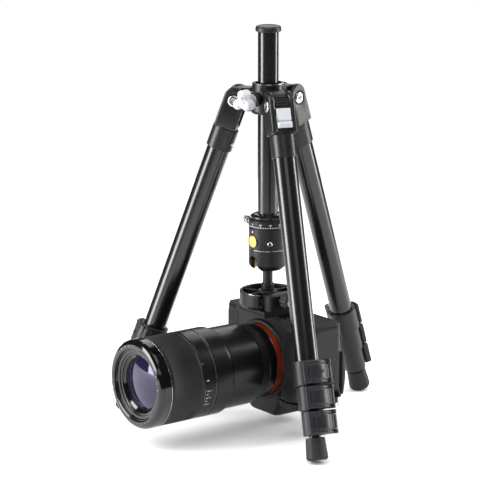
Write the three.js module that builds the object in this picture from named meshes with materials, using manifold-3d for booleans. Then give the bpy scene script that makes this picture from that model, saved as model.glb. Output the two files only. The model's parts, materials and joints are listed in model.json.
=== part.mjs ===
// A compact travel tripod with its centre column turned upside down. A ball head hangs under
// the spider, and an interchangeable-lens camera hangs from the ball head, base plate up.
// Millimetres, +Z up. The lens points along -Y; +X is the camera's grip side.

import * as THREE from "three";
import { mergeVertices } from "three/addons/utils/BufferGeometryUtils.js";
import Module from "manifold-3d";

const wasm = await Module();
wasm.setup();

// ---------------------------------------------------------------- driving dimensions

const GAP = 0.3; // face to face, between pieces that touch
const RUN = 0.35; // radial clearance of a piece that turns or slides
const SIDES = 14; // facets of a full round
const LENS_SIDES = 26; // facets of the camera's and the lens's large rounds
const DEG = Math.PI / 180;

// legs
const HINGE_Z = 288; // height of the leg hinges above the floor
const HINGE_R = 28.5; // distance of the leg hinges from the column axis
const LEG_ANGLE = 19.75 * DEG; // spread at the first stop, from vertical
const LEG_AZIMUTHS = { a: -48.9 * DEG, b: 71.1 * DEG, c: 191.1 * DEG }; // 0 is -Y, turning to +X
const TUBE_OD = [20, 17, 14, 11]; // the four leg sections, outside
const TUBE_WALL = 1.2;
const TUBE_TOP = [30, 52, 56, 60]; // where each section starts, along the leg from the hinge
const LOCK_TOP = 221; // top of the first lock, along the leg
const LOCK_H = 21.2; // height of one lock
const LOCK_PITCH = LOCK_H + GAP;
const LOCK_WALL = 2.8; // collar wall outside its tube
const LOCK_SEAT = 12; // how deep the upper tube sits in its collar
const LEVER_ARC = [-22 * DEG, 58 * DEG]; // the lever's face, from outward towards its hinge
const LEVER_THICK = 3.6;
const LEVER_H = 19.6;
const LEVER_PIN_ANGLE = 84 * DEG;
const LEVER_PIN_OUT = 4.4; // lever hinge, from the first collar's face
const LEVER_BARREL_R = 3.5;
const LEVER_BARREL_H = 12.4;
const FOOT_GAP = 1.8; // tube that shows between the last lock and the foot
const FOOT_H = 19.2;
const FOOT_R = [8.6, 9.7]; // rubber foot, top and bottom

// yokes, where the legs hinge
const YOKE_W = 22.6; // across the ears
const YOKE_D = 19.6;
const YOKE_CORNER = 7.5;
const YOKE_ABOVE = 12.4; // ear height over the hinge
const YOKE_BOTTOM = 26; // end of the yoke, along the leg
const YOKE_SLOT = 14; // between the ears
const SLOT_DEPTH = 23;
const SLEEVE_BOTTOM = 46; // lower edge of the sleeve that clamps the tube
const SLEEVE_W = 21.6;
const SLEEVE_D = 23.6;
const BOLT_R = 2.5;
const BOLT_HEAD_R = 5.2;
const BOLT_HEAD_H = 2.2;
const EAR_RECESS = 1.6; // depth of the bolt head's seat in the ear
const TAB_TOP = 4; // angle-lock tab, along the leg
const TAB_BOTTOM = 21;
const TAB_W = 12.6;
const TAB_FACE = 10.8; // tab's face, outward from the leg's axis
const TAB_DEPTH = 1.9;
const TAB_LIP = 1.6;

// spider and column
const COLUMN_R = 9;
const COLUMN_WALL = 1.5;
const COLUMN_ABOVE = 60.6; // column over the hinges
const COLUMN_LENGTH = 164.6;
const COLUMN_TOP = HINGE_Z + COLUMN_ABOVE;
const COLUMN_BOTTOM = COLUMN_TOP - COLUMN_LENGTH;
const FLANGE_R = 15.5; // disc at the column's lower end, which carries the head
const FLANGE_H = 4;
const CAP_R = 11.2;
const CAP_H = 4.8;
const CAP_PLUG = 8;
const COLLAR_R = 14;
const COLLAR_TOP = HINGE_Z + 16;
const COLLAR_BOTTOM = HINGE_Z - 11;
const BUSH_WALL = 1.8;
const LUG_W = 13.2; // spider lug between a yoke's ears
const LUG_R = 9.2;
const LUG_TOP = 11.4; // arm height over the hinge
const LUG_RIBS = 4;
const KNOB_AZIMUTH = 11.1 * DEG; // between legs a and b
const KNOB_Z = HINGE_Z + 3;
const BOSS_R = 6.4;
const BOSS_END = 20.4; // boss face, from the column axis
const KNOB_NECK_R = 5;
const KNOB_NECK = 6;
const KNOB_HEAD = 11; // thickness of the lobed head
const KNOB_CORE_R = 6.4;
const KNOB_LOBE_R = 4.1;
const KNOB_REACH = 10.6;
const STUD_R = 2.4;

// ball head, stacked down from the column's lower end
const DIAL_R = 17.2;
const DIAL_H = 7.6;
const DIAL_TOP = COLUMN_BOTTOM - GAP;
const HOUSING_R = 17;
const HOUSING_H = 38.4;
const HOUSING_TOP = DIAL_TOP - DIAL_H - GAP;
const HOUSING_BOTTOM = HOUSING_TOP - HOUSING_H;
const HOUSING_CHAMFER = 4.4;
const SPIGOT_R = 8;
const SPIGOT_H = 7;
const BALL_R = 12.5;
const BALL_Z = HOUSING_BOTTOM + 14;
const MOUTH_R = 11.6; // opening that the stem swings in
const STEM_SLOT_W = 11;
const STEM_SLOT_TOP = BALL_Z - 1;
const STEM_R = 4.5;
const STEM_COLLAR_R = 5.8;
const STEM_COLLAR_H = 6;
const BALL_KNOB_Z = BALL_Z + 13;
const BALL_KNOB_R = 8.2;
const BALL_KNOB_H = 15;
const PAN_KNOB_AZIMUTH = -62 * DEG;
const PAN_KNOB_R = 3.6;
const PAN_KNOB_H = 5.4;

// quick-release clamp and plate
const CLAMP_R = 25;
const CLAMP_DROP = 33.3; // clamp's rim under the ball's centre
const CLAMP_H = 13.8;
const CLAMP_TOP = BALL_Z - CLAMP_DROP;
const CLAMP_BOTTOM = CLAMP_TOP - CLAMP_H;
const CLAMP_WALL = 3;
const CLAMP_RECESS = 6.4;
const CLAMP_BOSS_R = 9;
const CLAMP_RIB = 2;
const JAW_X = 13.2; // where the moving jaw starts
const JAW_END = 23.6;
const JAW_HALF = 16;
const DOVETAIL = [13.6, 15.6]; // half widths of the plate's dovetail, low and high
const DOVETAIL_H = 5;
const PLATE = [40, 39, 6];
const CLAMP_KNOB_R = 7.4;
const CLAMP_KNOB_H = 11;
const CLAMP_KNOB_Z = CLAMP_BOTTOM + 8.4;

// camera, in its own upright frame: origin at the tripod socket, grip towards -X
const BASE_Z = CLAMP_BOTTOM - 2 * GAP - PLATE[2];
const BODY_X = [-72, 54];
const BODY_Y = [-5.7, 29.3];
const BODY_H = 66;
const BODY_CORNERS = [7, 11]; // grip side, other side
const SHELL = 3;
const OPTIC_Z = 42.5; // optical axis over the base
const THROAT_R = 24;
const MOUNT_R = 32.3;
const MOUNT_H = 7.9;
const GRIP_X = [-71, -45];
const GRIP_FRONT = -26;
const GRIP_Z = [2, BODY_H];
const COVER_H = 5.4; // top cover over the body
const HUMP_HALF = [29, 19]; // finder hump half widths, foot and top
const HUMP_Y = [BODY_Y[0] - 1.6, BODY_Y[1] + 2];
const HUMP_TOP = 92.6;
const LCD_X = [-24, 46];
const LCD_Z = [7, BODY_H - 8];
const LCD_T = 4.4;
const BUTTON_R = 5.2;
const BUTTON_H = 2.4;
const BUTTON_TRAVEL = 1; // how far the shutter button goes down
const BUTTON_AT = [-59, -15];
const DIAL_AT = [-38, 9];
const MODE_DIAL_R = 8.4;
const MODE_DIAL_H = 7;
const LUG_AT = [BODY_X[0], BODY_Y[1] - 9, BODY_H - 3.6];
const STRAP_LUG = [5.6, 1.6, 6];
const STRAP_HOLE_R = 1.9;
const RING_R = 5;
const RING_WIRE_R = 0.9;

// lens, along the optical axis from the mount's flange
const LENS_BASE_R = 33.3;
const LENS_BASE = 18;
const LENS_REAR_R = 36.4;
const LENS_STEP = 51;
const LENS_MAIN_R = 39.2;
const FOCUS_START = 85;
const FOCUS_END = 118;
const FOCUS_SLEEVE = 2.6;
const LENS_LENGTH = 130.5;
const FRONT_R = 39.5;
const LENS_BORE_R = 22;
const FILTER_R = 31.6; // filter recess at the front
const RECESS = 9;
const FRONT_GLASS_R = 23;
const GLASS_BULGE = 3.2;
const GLASS_T = 5;

// ---------------------------------------------------------------- solid and shape tools

/** A closed three.js geometry as a solid that can be joined and cut. */
function solid(geometry) {
  const bare = geometry.clone();
  bare.deleteAttribute("normal");
  bare.deleteAttribute("uv");
  const merged = mergeVertices(bare, 1e-4);
  return new wasm.Manifold(
    new wasm.Mesh({
      numProp: 3,
      vertProperties: merged.attributes.position.array,
      triVerts: new Uint32Array(merged.index.array),
    }),
  );
}

/** A solid back as a geometry. */
function geometryOf(made) {
  const mesh = made.getMesh();
  const geometry = new THREE.BufferGeometry();
  geometry.setAttribute("position", new THREE.BufferAttribute(mesh.vertProperties, 3));
  geometry.setIndex(new THREE.BufferAttribute(mesh.triVerts, 1));
  geometry.computeVertexNormals();
  return geometry;
}

/** A round turned about Z from its [radius, z] outline, which closes on itself. */
function turned(outline, sides = SIDES) {
  const points = outline.map(([r, z]) => new THREE.Vector2(r, z));
  if (outline[0][0] > 0) points.push(points[0].clone());
  const geometry = new THREE.LatheGeometry(points, sides);
  geometry.rotateX(Math.PI / 2);
  return geometry;
}

function rod(radius, from, to, sides = SIDES) {
  return turned([[0, from], [radius, from], [radius, to], [0, to]], sides);
}

function pipe(inner, outer, from, to, sides = SIDES) {
  return turned([[inner, from], [outer, from], [outer, to], [inner, to]], sides);
}

function block([x0, x1], [y0, y1], [z0, z1]) {
  const box = new THREE.BoxGeometry(x1 - x0, y1 - y0, z1 - z0);
  return box.translate((x0 + x1) / 2, (y0 + y1) / 2, (z0 + z1) / 2);
}

/** A flat outline in XY, extruded from z0 to z1. */
function slab(shape, z0, z1, curve = 5) {
  const options = { depth: z1 - z0, bevelEnabled: false, curveSegments: curve };
  return new THREE.ExtrudeGeometry(shape, options).translate(0, 0, z0);
}

/** A rectangle whose corners have the four radii r: +x+y, -x+y, -x-y, +x-y. */
function roundedRectangle([x0, x1], [y0, y1], r) {
  const [a, b, c, d] = Array.isArray(r) ? r : [r, r, r, r];
  const shape = new THREE.Shape();
  shape.moveTo(x1, y0 + d);
  shape.lineTo(x1, y1 - a);
  shape.absarc(x1 - a, y1 - a, a, 0, Math.PI / 2);
  shape.lineTo(x0 + b, y1);
  shape.absarc(x0 + b, y1 - b, b, Math.PI / 2, Math.PI);
  shape.lineTo(x0, y0 + c);
  shape.absarc(x0 + c, y0 + c, c, Math.PI, 1.5 * Math.PI);
  shape.lineTo(x1 - d, y0);
  shape.absarc(x1 - d, y0 + d, d, 1.5 * Math.PI, 2 * Math.PI);
  return shape;
}

/** Turns a geometry built along +Z so that it points along +Y, +X, or a level azimuth. */
const alongY = (geometry) => geometry.rotateX(-Math.PI / 2);
const alongX = (geometry) => geometry.rotateY(Math.PI / 2);
const towards = (geometry, azimuth) => geometry.rotateX(Math.PI / 2).rotateZ(azimuth);

const join = (...geometries) => geometries.map(solid).reduce((a, b) => a.add(b));
const cut = (body, ...tools) => tools.map(solid).reduce((a, b) => a.subtract(b), body);

function material(color, roughness, metalness) {
  return new THREE.MeshStandardMaterial({ color, roughness, metalness });
}

const ANODISED = material(0x101114, 0.3, 0.8);
const BLACK_PLASTIC = material(0x1b1c20, 0.55, 0);
const BLACK_METAL = material(0x17181c, 0.45, 0.6);
const GREY_PLASTIC = material(0xdcdde4, 0.5, 0);
const STEEL = material(0xb9b4aa, 0.25, 1);
const RUBBER = material(0x232428, 0.85, 0);
const BODY_PAINT = material(0x1c1d22, 0.6, 0.2);
const LEATHERETTE = material(0x24252b, 0.8, 0);
const ORANGE = material(0xd8431a, 0.35, 0.6);
const GLASS = material(0x8d86a8, 0.05, 0);

/** A named mesh from a geometry or a solid. */
function piece(name, made, look) {
  const geometry = made.isBufferGeometry ? made : geometryOf(made);
  const mesh = new THREE.Mesh(geometry, look);
  mesh.name = name;
  return mesh;
}

// ---------------------------------------------------------------- legs
// A leg hangs down -Z from its hinge at the origin, outward is -Y, the hinge runs along X.

const lockTop = (i) => LOCK_TOP + i * LOCK_PITCH;
const collarR = (i) => TUBE_OD[i] / 2 + LOCK_WALL;
const LEVER_PIN_R = collarR(0) + LEVER_PIN_OUT;
const FOOT_TOP = lockTop(TUBE_OD.length - 2) + LOCK_H + FOOT_GAP;
const FOOT_BOTTOM = FOOT_TOP + FOOT_H;

/** A point in the leg's cross-section, at an angle from outward and a distance from its axis. */
function around(angle, radius) {
  return [radius * Math.sin(angle), -radius * Math.cos(angle)];
}

/** The casting that hinges on the spider: two ears over a sleeve that clamps the top tube. */
function yoke() {
  const half = YOKE_W / 2;
  const ears = roundedRectangle([-half, half], [-YOKE_D / 2, YOKE_D / 2], YOKE_CORNER);
  const sleeve = roundedRectangle(
    [-SLEEVE_W / 2, SLEEVE_W / 2],
    [-SLEEVE_D / 2, SLEEVE_D / 2],
    SLEEVE_W / 2 - 1,
  );
  const body = join(
    slab(ears, -YOKE_BOTTOM, YOKE_ABOVE, 3),
    slab(sleeve, -SLEEVE_BOTTOM, -YOKE_BOTTOM, 4),
  );
  const crown = alongX(rod(YOKE_D / 2, -half - 1, half + 1, 12))
    .translate(0, 0, YOKE_ABOVE - YOKE_D / 2);
  const below = block(
    [-half - 2, half + 2],
    [-SLEEVE_D, SLEEVE_D],
    [-SLEEVE_BOTTOM - 1, YOKE_ABOVE - YOKE_D / 2],
  );
  const rounded = body.intersect(join(crown, below));
  const slot = block([-YOKE_SLOT / 2, YOKE_SLOT / 2], [-20, 20], [-SLOT_DEPTH, 20]);
  const hole = alongX(rod(BOLT_R + RUN, -half - 1, half + 1, 10));
  const seat = (side) =>
    alongX(rod(BOLT_HEAD_R + 2 * GAP, half - EAR_RECESS, half + 2, 12)).rotateZ(side);
  const bore = rod(TUBE_OD[0] / 2 + GAP, -SLEEVE_BOTTOM - 1, -TUBE_TOP[0] + GAP);
  return cut(rounded, slot, hole, seat(0), seat(Math.PI), bore);
}

/** The hinge bolt with a head at each ear: shank, head and the nut that looks like it. */
function hingeBolt() {
  const inner = YOKE_W / 2 - EAR_RECESS + GAP;
  const outer = inner + BOLT_HEAD_H;
  return alongX(turned([
    [0, -outer], [BOLT_HEAD_R, -outer], [BOLT_HEAD_R, -inner], [BOLT_R, -inner],
    [BOLT_R, inner], [BOLT_HEAD_R, inner], [BOLT_HEAD_R, outer], [0, outer],
  ], 10));
}

/** The spring-loaded tab that sets the leg's angle: a plate with a lip to pull. */
function angleTab() {
  const side = new THREE.Shape();
  side.moveTo(TAB_FACE - TAB_DEPTH, -TAB_TOP);
  side.lineTo(TAB_FACE - TAB_DEPTH, -TAB_BOTTOM);
  side.lineTo(TAB_FACE + TAB_LIP, -TAB_BOTTOM);
  side.lineTo(TAB_FACE + TAB_LIP, -TAB_BOTTOM + 3);
  side.lineTo(TAB_FACE, -TAB_BOTTOM + 5.4);
  side.lineTo(TAB_FACE, -TAB_TOP);
  const plate = slab(side, -TAB_W / 2, TAB_W / 2);
  return plate.rotateX(Math.PI / 2).rotateZ(-Math.PI / 2);
}

/** Section i with the lock collar on its lower end; the last section has no lock. */
function legSection(i) {
  const outer = TUBE_OD[i] / 2;
  const inner = outer - TUBE_WALL;
  if (i === TUBE_OD.length - 1)
    return pipe(inner, outer, -FOOT_TOP - LOCK_SEAT, -TUBE_TOP[i]);
  const top = -lockTop(i);
  const bottom = top - LOCK_H;
  const next = TUBE_OD[i + 1] / 2 + RUN;
  const shaft = turned([
    [next, bottom], [collarR(i), bottom], [collarR(i), top], [outer, top],
    [outer, -TUBE_TOP[i]], [inner, -TUBE_TOP[i]], [inner, top - LOCK_SEAT],
    [next, top - LOCK_SEAT],
  ]);
  const [pinX, pinY] = around(LEVER_PIN_ANGLE, LEVER_PIN_R);
  const root = LEVER_PIN_R - collarR(i) + 1.2;
  const half = LEVER_BARREL_R;
  const outline = roundedRectangle([-half, half], [-half, root], [0.01, 0.01, 3.3, 3.3]);
  const deep = (LOCK_H - LEVER_BARREL_H) / 2 - GAP;
  const ear = (z) =>
    slab(outline, z, z + deep - GAP, 3).rotateZ(LEVER_PIN_ANGLE).translate(pinX, pinY, 0);
  return join(shaft, ear(top - deep), ear(bottom + GAP));
}

/** The flip lever of lock i: an arc of plate over the collar, on a barrel. */
function lockLever(i) {
  const inner = collarR(i) + 2 * GAP;
  const outer = collarR(0) + 2 * GAP + LEVER_THICK;
  const middle = -(lockTop(i) + LOCK_H / 2);
  const [from, to] = LEVER_ARC;
  const turn = -Math.PI / 2;
  const face = new THREE.Shape();
  face.absarc(0, 0, outer, from + turn, to + turn, false);
  face.absarc(0, 0, inner, to + turn, from + turn, true);
  const [pinX, pinY] = around(LEVER_PIN_ANGLE, LEVER_PIN_R);
  const barrel = rod(LEVER_BARREL_R, -LEVER_BARREL_H / 2, LEVER_BARREL_H / 2, 10)
    .translate(pinX, pinY, 0);
  const web = new THREE.Shape();
  const reach = around(to - 4 * DEG, outer - LEVER_THICK / 2);
  const across = around(LEVER_PIN_ANGLE, LEVER_PIN_R - LEVER_BARREL_R + 1);
  const beyond = around(LEVER_PIN_ANGLE, LEVER_PIN_R + LEVER_BARREL_R - 0.6);
  const corner = around(to - 2 * DEG, outer);
  web.moveTo(...reach);
  web.lineTo(...corner);
  web.lineTo(...beyond);
  web.lineTo(...across);
  const made = join(
    slab(face, -LEVER_H / 2, LEVER_H / 2, 4),
    barrel,
    slab(web, -LEVER_BARREL_H / 2, LEVER_BARREL_H / 2),
  );
  return geometryOf(made).translate(0, 0, middle);
}

/** The rubber foot: a slightly flared plug round the last tube. */
function foot() {
  const bore = TUBE_OD[3] / 2 + GAP;
  const seat = FOOT_TOP + LOCK_SEAT + GAP;
  return turned([
    [0, -FOOT_BOTTOM], [FOOT_R[1] - 2, -FOOT_BOTTOM], [FOOT_R[1], -FOOT_BOTTOM + 2],
    [FOOT_R[0], -FOOT_TOP], [bore, -FOOT_TOP], [bore, -seat], [0, -seat],
  ], 14);
}

function leg(letter, azimuth) {
  const name = (what) => `leg_${letter}_${what}`;
  const hinge = new THREE.Group();
  hinge.name = name("hinge");
  hinge.position.set(0, -HINGE_R, 0);
  hinge.rotation.x = -LEG_ANGLE;
  hinge.add(
    piece(name("yoke"), yoke(), BLACK_METAL),
    piece(name("hinge_bolt"), hingeBolt(), STEEL),
    piece(name("angle_tab"), angleTab(), GREY_PLASTIC),
    piece(name("foot"), foot(), RUBBER),
  );
  TUBE_OD.forEach((_, i) =>
    hinge.add(piece(name(`section_${i + 1}`), legSection(i), ANODISED)));
  for (let i = 0; i < TUBE_OD.length - 1; i++) {
    hinge.add(piece(name(`lever_${i + 1}`), lockLever(i), BLACK_PLASTIC));
    const pin = new THREE.Group();
    pin.name = name(`lever_${i + 1}_pin`);
    pin.position.set(...around(LEVER_PIN_ANGLE, LEVER_PIN_R), -lockTop(i) - LOCK_H / 2);
    hinge.add(pin);
  }
  const mount = new THREE.Group();
  mount.position.z = HINGE_Z;
  mount.rotation.z = azimuth;
  mount.add(hinge);
  return mount;
}

// ---------------------------------------------------------------- spider and column

/** One arm of the spider, pointing out along -Y at the hinge height, with a ribbed end. */
function spiderArm() {
  const side = new THREE.Shape();
  side.moveTo(COLLAR_R - 3, -LUG_R);
  side.lineTo(HINGE_R, -LUG_R);
  side.absarc(HINGE_R, 0, LUG_R, -Math.PI / 2, Math.PI / 3, false);
  side.lineTo(HINGE_R, LUG_TOP);
  side.lineTo(COLLAR_R - 3, LUG_TOP);
  const arm = slab(side, -LUG_W / 2, LUG_W / 2, 5)
    .rotateX(Math.PI / 2)
    .rotateZ(-Math.PI / 2);
  const grooves = [];
  for (let i = 0; i < LUG_RIBS; i++) {
    const groove = block([-LUG_W, LUG_W], [-0.7, 2], [-0.6, 0.6]);
    grooves.push(groove.translate(0, -LUG_R - 0.1, 0)
      .rotateX((i - 1) * 18 * DEG)
      .translate(0, -HINGE_R, 0));
  }
  const hole = alongX(rod(BOLT_R + RUN, -LUG_W, LUG_W, 10)).translate(0, -HINGE_R, 0);
  return cut(solid(arm), hole, ...grooves);
}

function spider() {
  const core = turned([
    [0, COLLAR_BOTTOM], [COLLAR_R, COLLAR_BOTTOM], [COLLAR_R + 1.6, COLLAR_BOTTOM + 3],
    [COLLAR_R + 1.6, HINGE_Z + 6], [COLLAR_R, COLLAR_TOP - 6], [COLLAR_R, COLLAR_TOP - 1],
    [COLLAR_R - 1, COLLAR_TOP], [0, COLLAR_TOP],
  ], 24);
  const boss = towards(rod(BOSS_R, COLUMN_R, BOSS_END, 16), KNOB_AZIMUTH)
    .translate(0, 0, KNOB_Z);
  const stud = towards(rod(STUD_R + RUN, 0, BOSS_END + 1, 12), KNOB_AZIMUTH)
    .translate(0, 0, KNOB_Z);
  let made = join(core, boss);
  const arm = geometryOf(spiderArm());
  for (const azimuth of Object.values(LEG_AZIMUTHS))
    made = made.add(solid(arm.clone().rotateZ(azimuth).translate(0, 0, HINGE_Z)));
  const bore = rod(COLUMN_R + RUN + BUSH_WALL + GAP, COLLAR_BOTTOM - 1, COLLAR_TOP + 1, 24);
  return cut(made, bore, stud);
}

/** The plastic bush that the column slides in, cut through where the stud presses. */
function columnBush() {
  const inner = COLUMN_R + RUN;
  const ring = pipe(inner, inner + BUSH_WALL, COLLAR_BOTTOM + 1, COLLAR_TOP - 1.5, 24);
  const slit = block([-0.8, 0.8], [0, 20], [COLLAR_BOTTOM, COLLAR_TOP]);
  return cut(solid(ring), slit.rotateZ(KNOB_AZIMUTH));
}

function columnKnob() {
  const start = BOSS_END + GAP;
  const back = start + KNOB_NECK;
  const stud = rod(STUD_R, COLUMN_R + RUN + BUSH_WALL + GAP, start + 1, 12);
  const neck = turned([
    [0, start], [KNOB_NECK_R, start], [KNOB_CORE_R, back + 0.5], [0, back + 0.5],
  ], 16);
  const core = rod(KNOB_CORE_R, back, back + KNOB_HEAD, 16);
  let made = join(stud, neck, core);
  for (let i = 0; i < 3; i++) {
    const lobe = rod(KNOB_LOBE_R, back, back + KNOB_HEAD, 12);
    const angle = i * 120 * DEG;
    const out = KNOB_REACH - KNOB_LOBE_R;
    const arm = block([-KNOB_LOBE_R, KNOB_LOBE_R], [0, out], [back, back + KNOB_HEAD]);
    made = made
      .add(solid(lobe.translate(0, out, 0).rotateZ(angle)))
      .add(solid(arm.rotateZ(angle)));
  }
  return towards(geometryOf(made), KNOB_AZIMUTH).translate(0, 0, KNOB_Z);
}

function column() {
  const bore = COLUMN_R - COLUMN_WALL;
  const bottom = COLUMN_BOTTOM;
  return turned([
    [bore, bottom], [FLANGE_R, bottom], [FLANGE_R, bottom + 1.6],
    [COLUMN_R, bottom + FLANGE_H], [COLUMN_R, COLUMN_TOP], [bore, COLUMN_TOP],
  ], 24);
}

function columnCap() {
  const low = COLUMN_TOP + GAP;
  const plug = COLUMN_R - COLUMN_WALL - GAP;
  return turned([
    [0, low - CAP_PLUG], [plug, low - CAP_PLUG], [plug, low], [CAP_R, low],
    [CAP_R, low + CAP_H - 1.4], [CAP_R - 1.8, low + CAP_H], [0, low + CAP_H],
  ], 24);
}

// ---------------------------------------------------------------- ball head

/** The panning base: a dial ring with a spigot that turns in the housing. */
function panBase() {
  const low = DIAL_TOP - DIAL_H;
  return turned([
    [0, low - SPIGOT_H], [SPIGOT_R, low - SPIGOT_H], [SPIGOT_R, low], [DIAL_R, low],
    [DIAL_R, DIAL_TOP - 2.4], [DIAL_R - 2, DIAL_TOP], [0, DIAL_TOP],
  ], 24);
}

/** The ball housing: a turned shell with a ball seat, a mouth, and one drop slot for the stem. */
function housing() {
  const shell = turned([
    [0, HOUSING_BOTTOM], [HOUSING_R - HOUSING_CHAMFER, HOUSING_BOTTOM],
    [HOUSING_R - 1.2, HOUSING_BOTTOM + HOUSING_CHAMFER - 1.4],
    [HOUSING_R, HOUSING_BOTTOM + HOUSING_CHAMFER], [HOUSING_R, HOUSING_TOP], [0, HOUSING_TOP],
  ], 24);
  const seat = new THREE.SphereGeometry(BALL_R + GAP, 20, 10).rotateX(Math.PI / 2);
  seat.translate(0, 0, BALL_Z);
  const spigot = rod(SPIGOT_R + RUN, HOUSING_TOP - SPIGOT_H - GAP, HOUSING_TOP + 1);
  const mouth = turned([
    [0, HOUSING_BOTTOM - 1], [MOUTH_R, HOUSING_BOTTOM - 1],
    [MOUTH_R - 1, BALL_Z - BALL_R / 2], [0, BALL_Z - BALL_R / 2],
  ]);
  const half = STEM_SLOT_W / 2;
  const slot = block([-half, half], [-HOUSING_R - 1, 0], [HOUSING_BOTTOM - 1, STEM_SLOT_TOP]);
  const stud = alongY(rod(STUD_R + RUN, 0, HOUSING_R + 1, 12)).translate(0, 0, BALL_KNOB_Z);
  return cut(solid(shell), seat, spigot, mouth, slot, stud);
}

const ball = () =>
  new THREE.SphereGeometry(BALL_R, 20, 10).rotateX(Math.PI / 2).translate(0, 0, BALL_Z);

/** The stem under the ball, with its collar against the clamp. */
function stem() {
  const top = BALL_Z - BALL_R - GAP;
  const collarTop = CLAMP_TOP + STEM_COLLAR_H;
  return turned([
    [0, CLAMP_TOP + GAP], [STEM_COLLAR_R, CLAMP_TOP + GAP],
    [STEM_COLLAR_R, collarTop], [STEM_R, collarTop + 0.8], [STEM_R, top], [0, top],
  ], 18);
}

function gripKnob(radius, from, length, studFrom, flutes = 10) {
  const head = turned([
    [0, from], [radius - 1, from], [radius, from + 1.2],
    [radius, from + length - 1.2], [radius - 1.2, from + length], [0, from + length],
  ], 20);
  const made = join(head, rod(STUD_R, studFrom, from + 1, 12));
  const tools = [];
  for (let i = 0; i < flutes; i++) {
    const flute = block([-0.9, 0.9], [radius - 0.7, radius + 2], [from - 1, from + length + 1]);
    tools.push(flute.rotateZ((i * 2 * Math.PI) / flutes));
  }
  return geometryOf(cut(made, ...tools));
}

function ballKnob() {
  const from = HOUSING_R + 1.2;
  return alongY(gripKnob(BALL_KNOB_R, from, BALL_KNOB_H, SPIGOT_R + 2 * RUN, 10))
    .translate(0, 0, BALL_KNOB_Z);
}

function panKnob() {
  const from = DIAL_R + GAP;
  const head = turned([
    [0, from], [PAN_KNOB_R - 0.8, from], [PAN_KNOB_R, from + 1],
    [PAN_KNOB_R, from + PAN_KNOB_H - 1], [PAN_KNOB_R - 1, from + PAN_KNOB_H],
    [0, from + PAN_KNOB_H],
  ], 14);
  return towards(head, PAN_KNOB_AZIMUTH).translate(0, 0, DIAL_TOP - DIAL_H / 2);
}

// ---------------------------------------------------------------- clamp and plate

/** The channel that the plate's dovetail slides in, along Y, wider by a clearance. */
function dovetail(clearance, length) {
  const [low, high] = DOVETAIL.map((half) => half + clearance);
  const z0 = CLAMP_BOTTOM - (clearance ? 1 : GAP);
  const z1 = CLAMP_BOTTOM + DOVETAIL_H + clearance;
  const shape = new THREE.Shape();
  shape.moveTo(-low, z0);
  shape.lineTo(low, z0);
  shape.lineTo(high, z1);
  shape.lineTo(-high, z1);
  return slab(shape, -length / 2, length / 2).rotateX(Math.PI / 2);
}

/** The round clamp: a ribbed cup over a dovetail channel, cut away for the moving jaw. */
function clamp() {
  const floor = CLAMP_TOP - CLAMP_RECESS;
  const cup = turned([
    [0, CLAMP_BOTTOM], [CLAMP_R - 1.5, CLAMP_BOTTOM], [CLAMP_R, CLAMP_BOTTOM + 2],
    [CLAMP_R, CLAMP_TOP], [CLAMP_R - CLAMP_WALL, CLAMP_TOP], [CLAMP_R - CLAMP_WALL, floor],
    [CLAMP_BOSS_R, floor], [CLAMP_BOSS_R, CLAMP_TOP], [0, CLAMP_TOP],
  ], 28);
  let made = solid(cup);
  for (let i = 0; i < 4; i++) {
    const rib = block(
      [-CLAMP_RIB / 2, CLAMP_RIB / 2],
      [CLAMP_BOSS_R - 1, CLAMP_R - CLAMP_WALL + 1],
      [floor - 1, CLAMP_TOP - 1.4],
    );
    made = made.add(solid(rib.rotateZ(i * 60 * DEG)));
  }
  const jawSide = block([JAW_X, CLAMP_R + 5], [-40, 40], [CLAMP_BOTTOM - 1, CLAMP_TOP + 1]);
  const stud = alongX(rod(STUD_R + RUN, JAW_X - 6, JAW_X + 1, 12)).translate(0, 0, CLAMP_KNOB_Z);
  return cut(made, jawSide, dovetail(GAP, 80), stud);
}

function clampJaw() {
  const x0 = JAW_X + GAP;
  const outline = roundedRectangle([x0, JAW_END], [-JAW_HALF, JAW_HALF], [3, 0.01, 0.01, 3]);
  const body = slab(outline, CLAMP_BOTTOM, CLAMP_TOP - 0.6, 3);
  const stud = alongX(rod(STUD_R + RUN, x0 - 1, JAW_END + 1, 12)).translate(0, 0, CLAMP_KNOB_Z);
  return cut(solid(body), dovetail(GAP, 80), stud);
}

function clampKnob() {
  const from = JAW_END + GAP;
  return alongX(gripKnob(CLAMP_KNOB_R, from, CLAMP_KNOB_H, JAW_X - 5, 9))
    .translate(0, 0, CLAMP_KNOB_Z);
}

/** The plate screwed to the camera's base: a flange and a dovetail. */
function cameraPlate() {
  const [x, y, z] = PLATE;
  const low = BASE_Z + GAP;
  const flange = slab(roundedRectangle([-x / 2, x / 2], [-y / 2, y / 2], 1.5), low, low + z, 2);
  const tail = dovetail(0, y);
  const neck = block([-DOVETAIL[0], DOVETAIL[0]], [-y / 2, y / 2], [low + z - 1, CLAMP_BOTTOM]);
  return join(flange, neck, tail);
}

// ---------------------------------------------------------------- camera, upright

/** The camera's outline from above, taken in by an inset. */
function bodyOutline(inset = 0) {
  const [grip, far] = BODY_CORNERS.map((r) => Math.max(r - inset, 1));
  return roundedRectangle(
    [BODY_X[0] + inset, BODY_X[1] - inset],
    [BODY_Y[0] + inset, BODY_Y[1] - inset],
    [far, grip, grip, far],
  );
}

/** A hole through the front of the camera along the optical axis. */
const throat = (radius, from, to, sides = LENS_SIDES) =>
  alongY(rod(radius, from, to, sides)).translate(0, 0, OPTIC_Z);

/** The body shell: hollow, open to the front through the lens throat. */
function bodyShell() {
  const outer = slab(bodyOutline(), 0, BODY_H, 4);
  const cavity = slab(bodyOutline(SHELL), SHELL, BODY_H - SHELL, 3);
  return cut(solid(outer), cavity, throat(THROAT_R, BODY_Y[0] - 1, 0));
}

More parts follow.
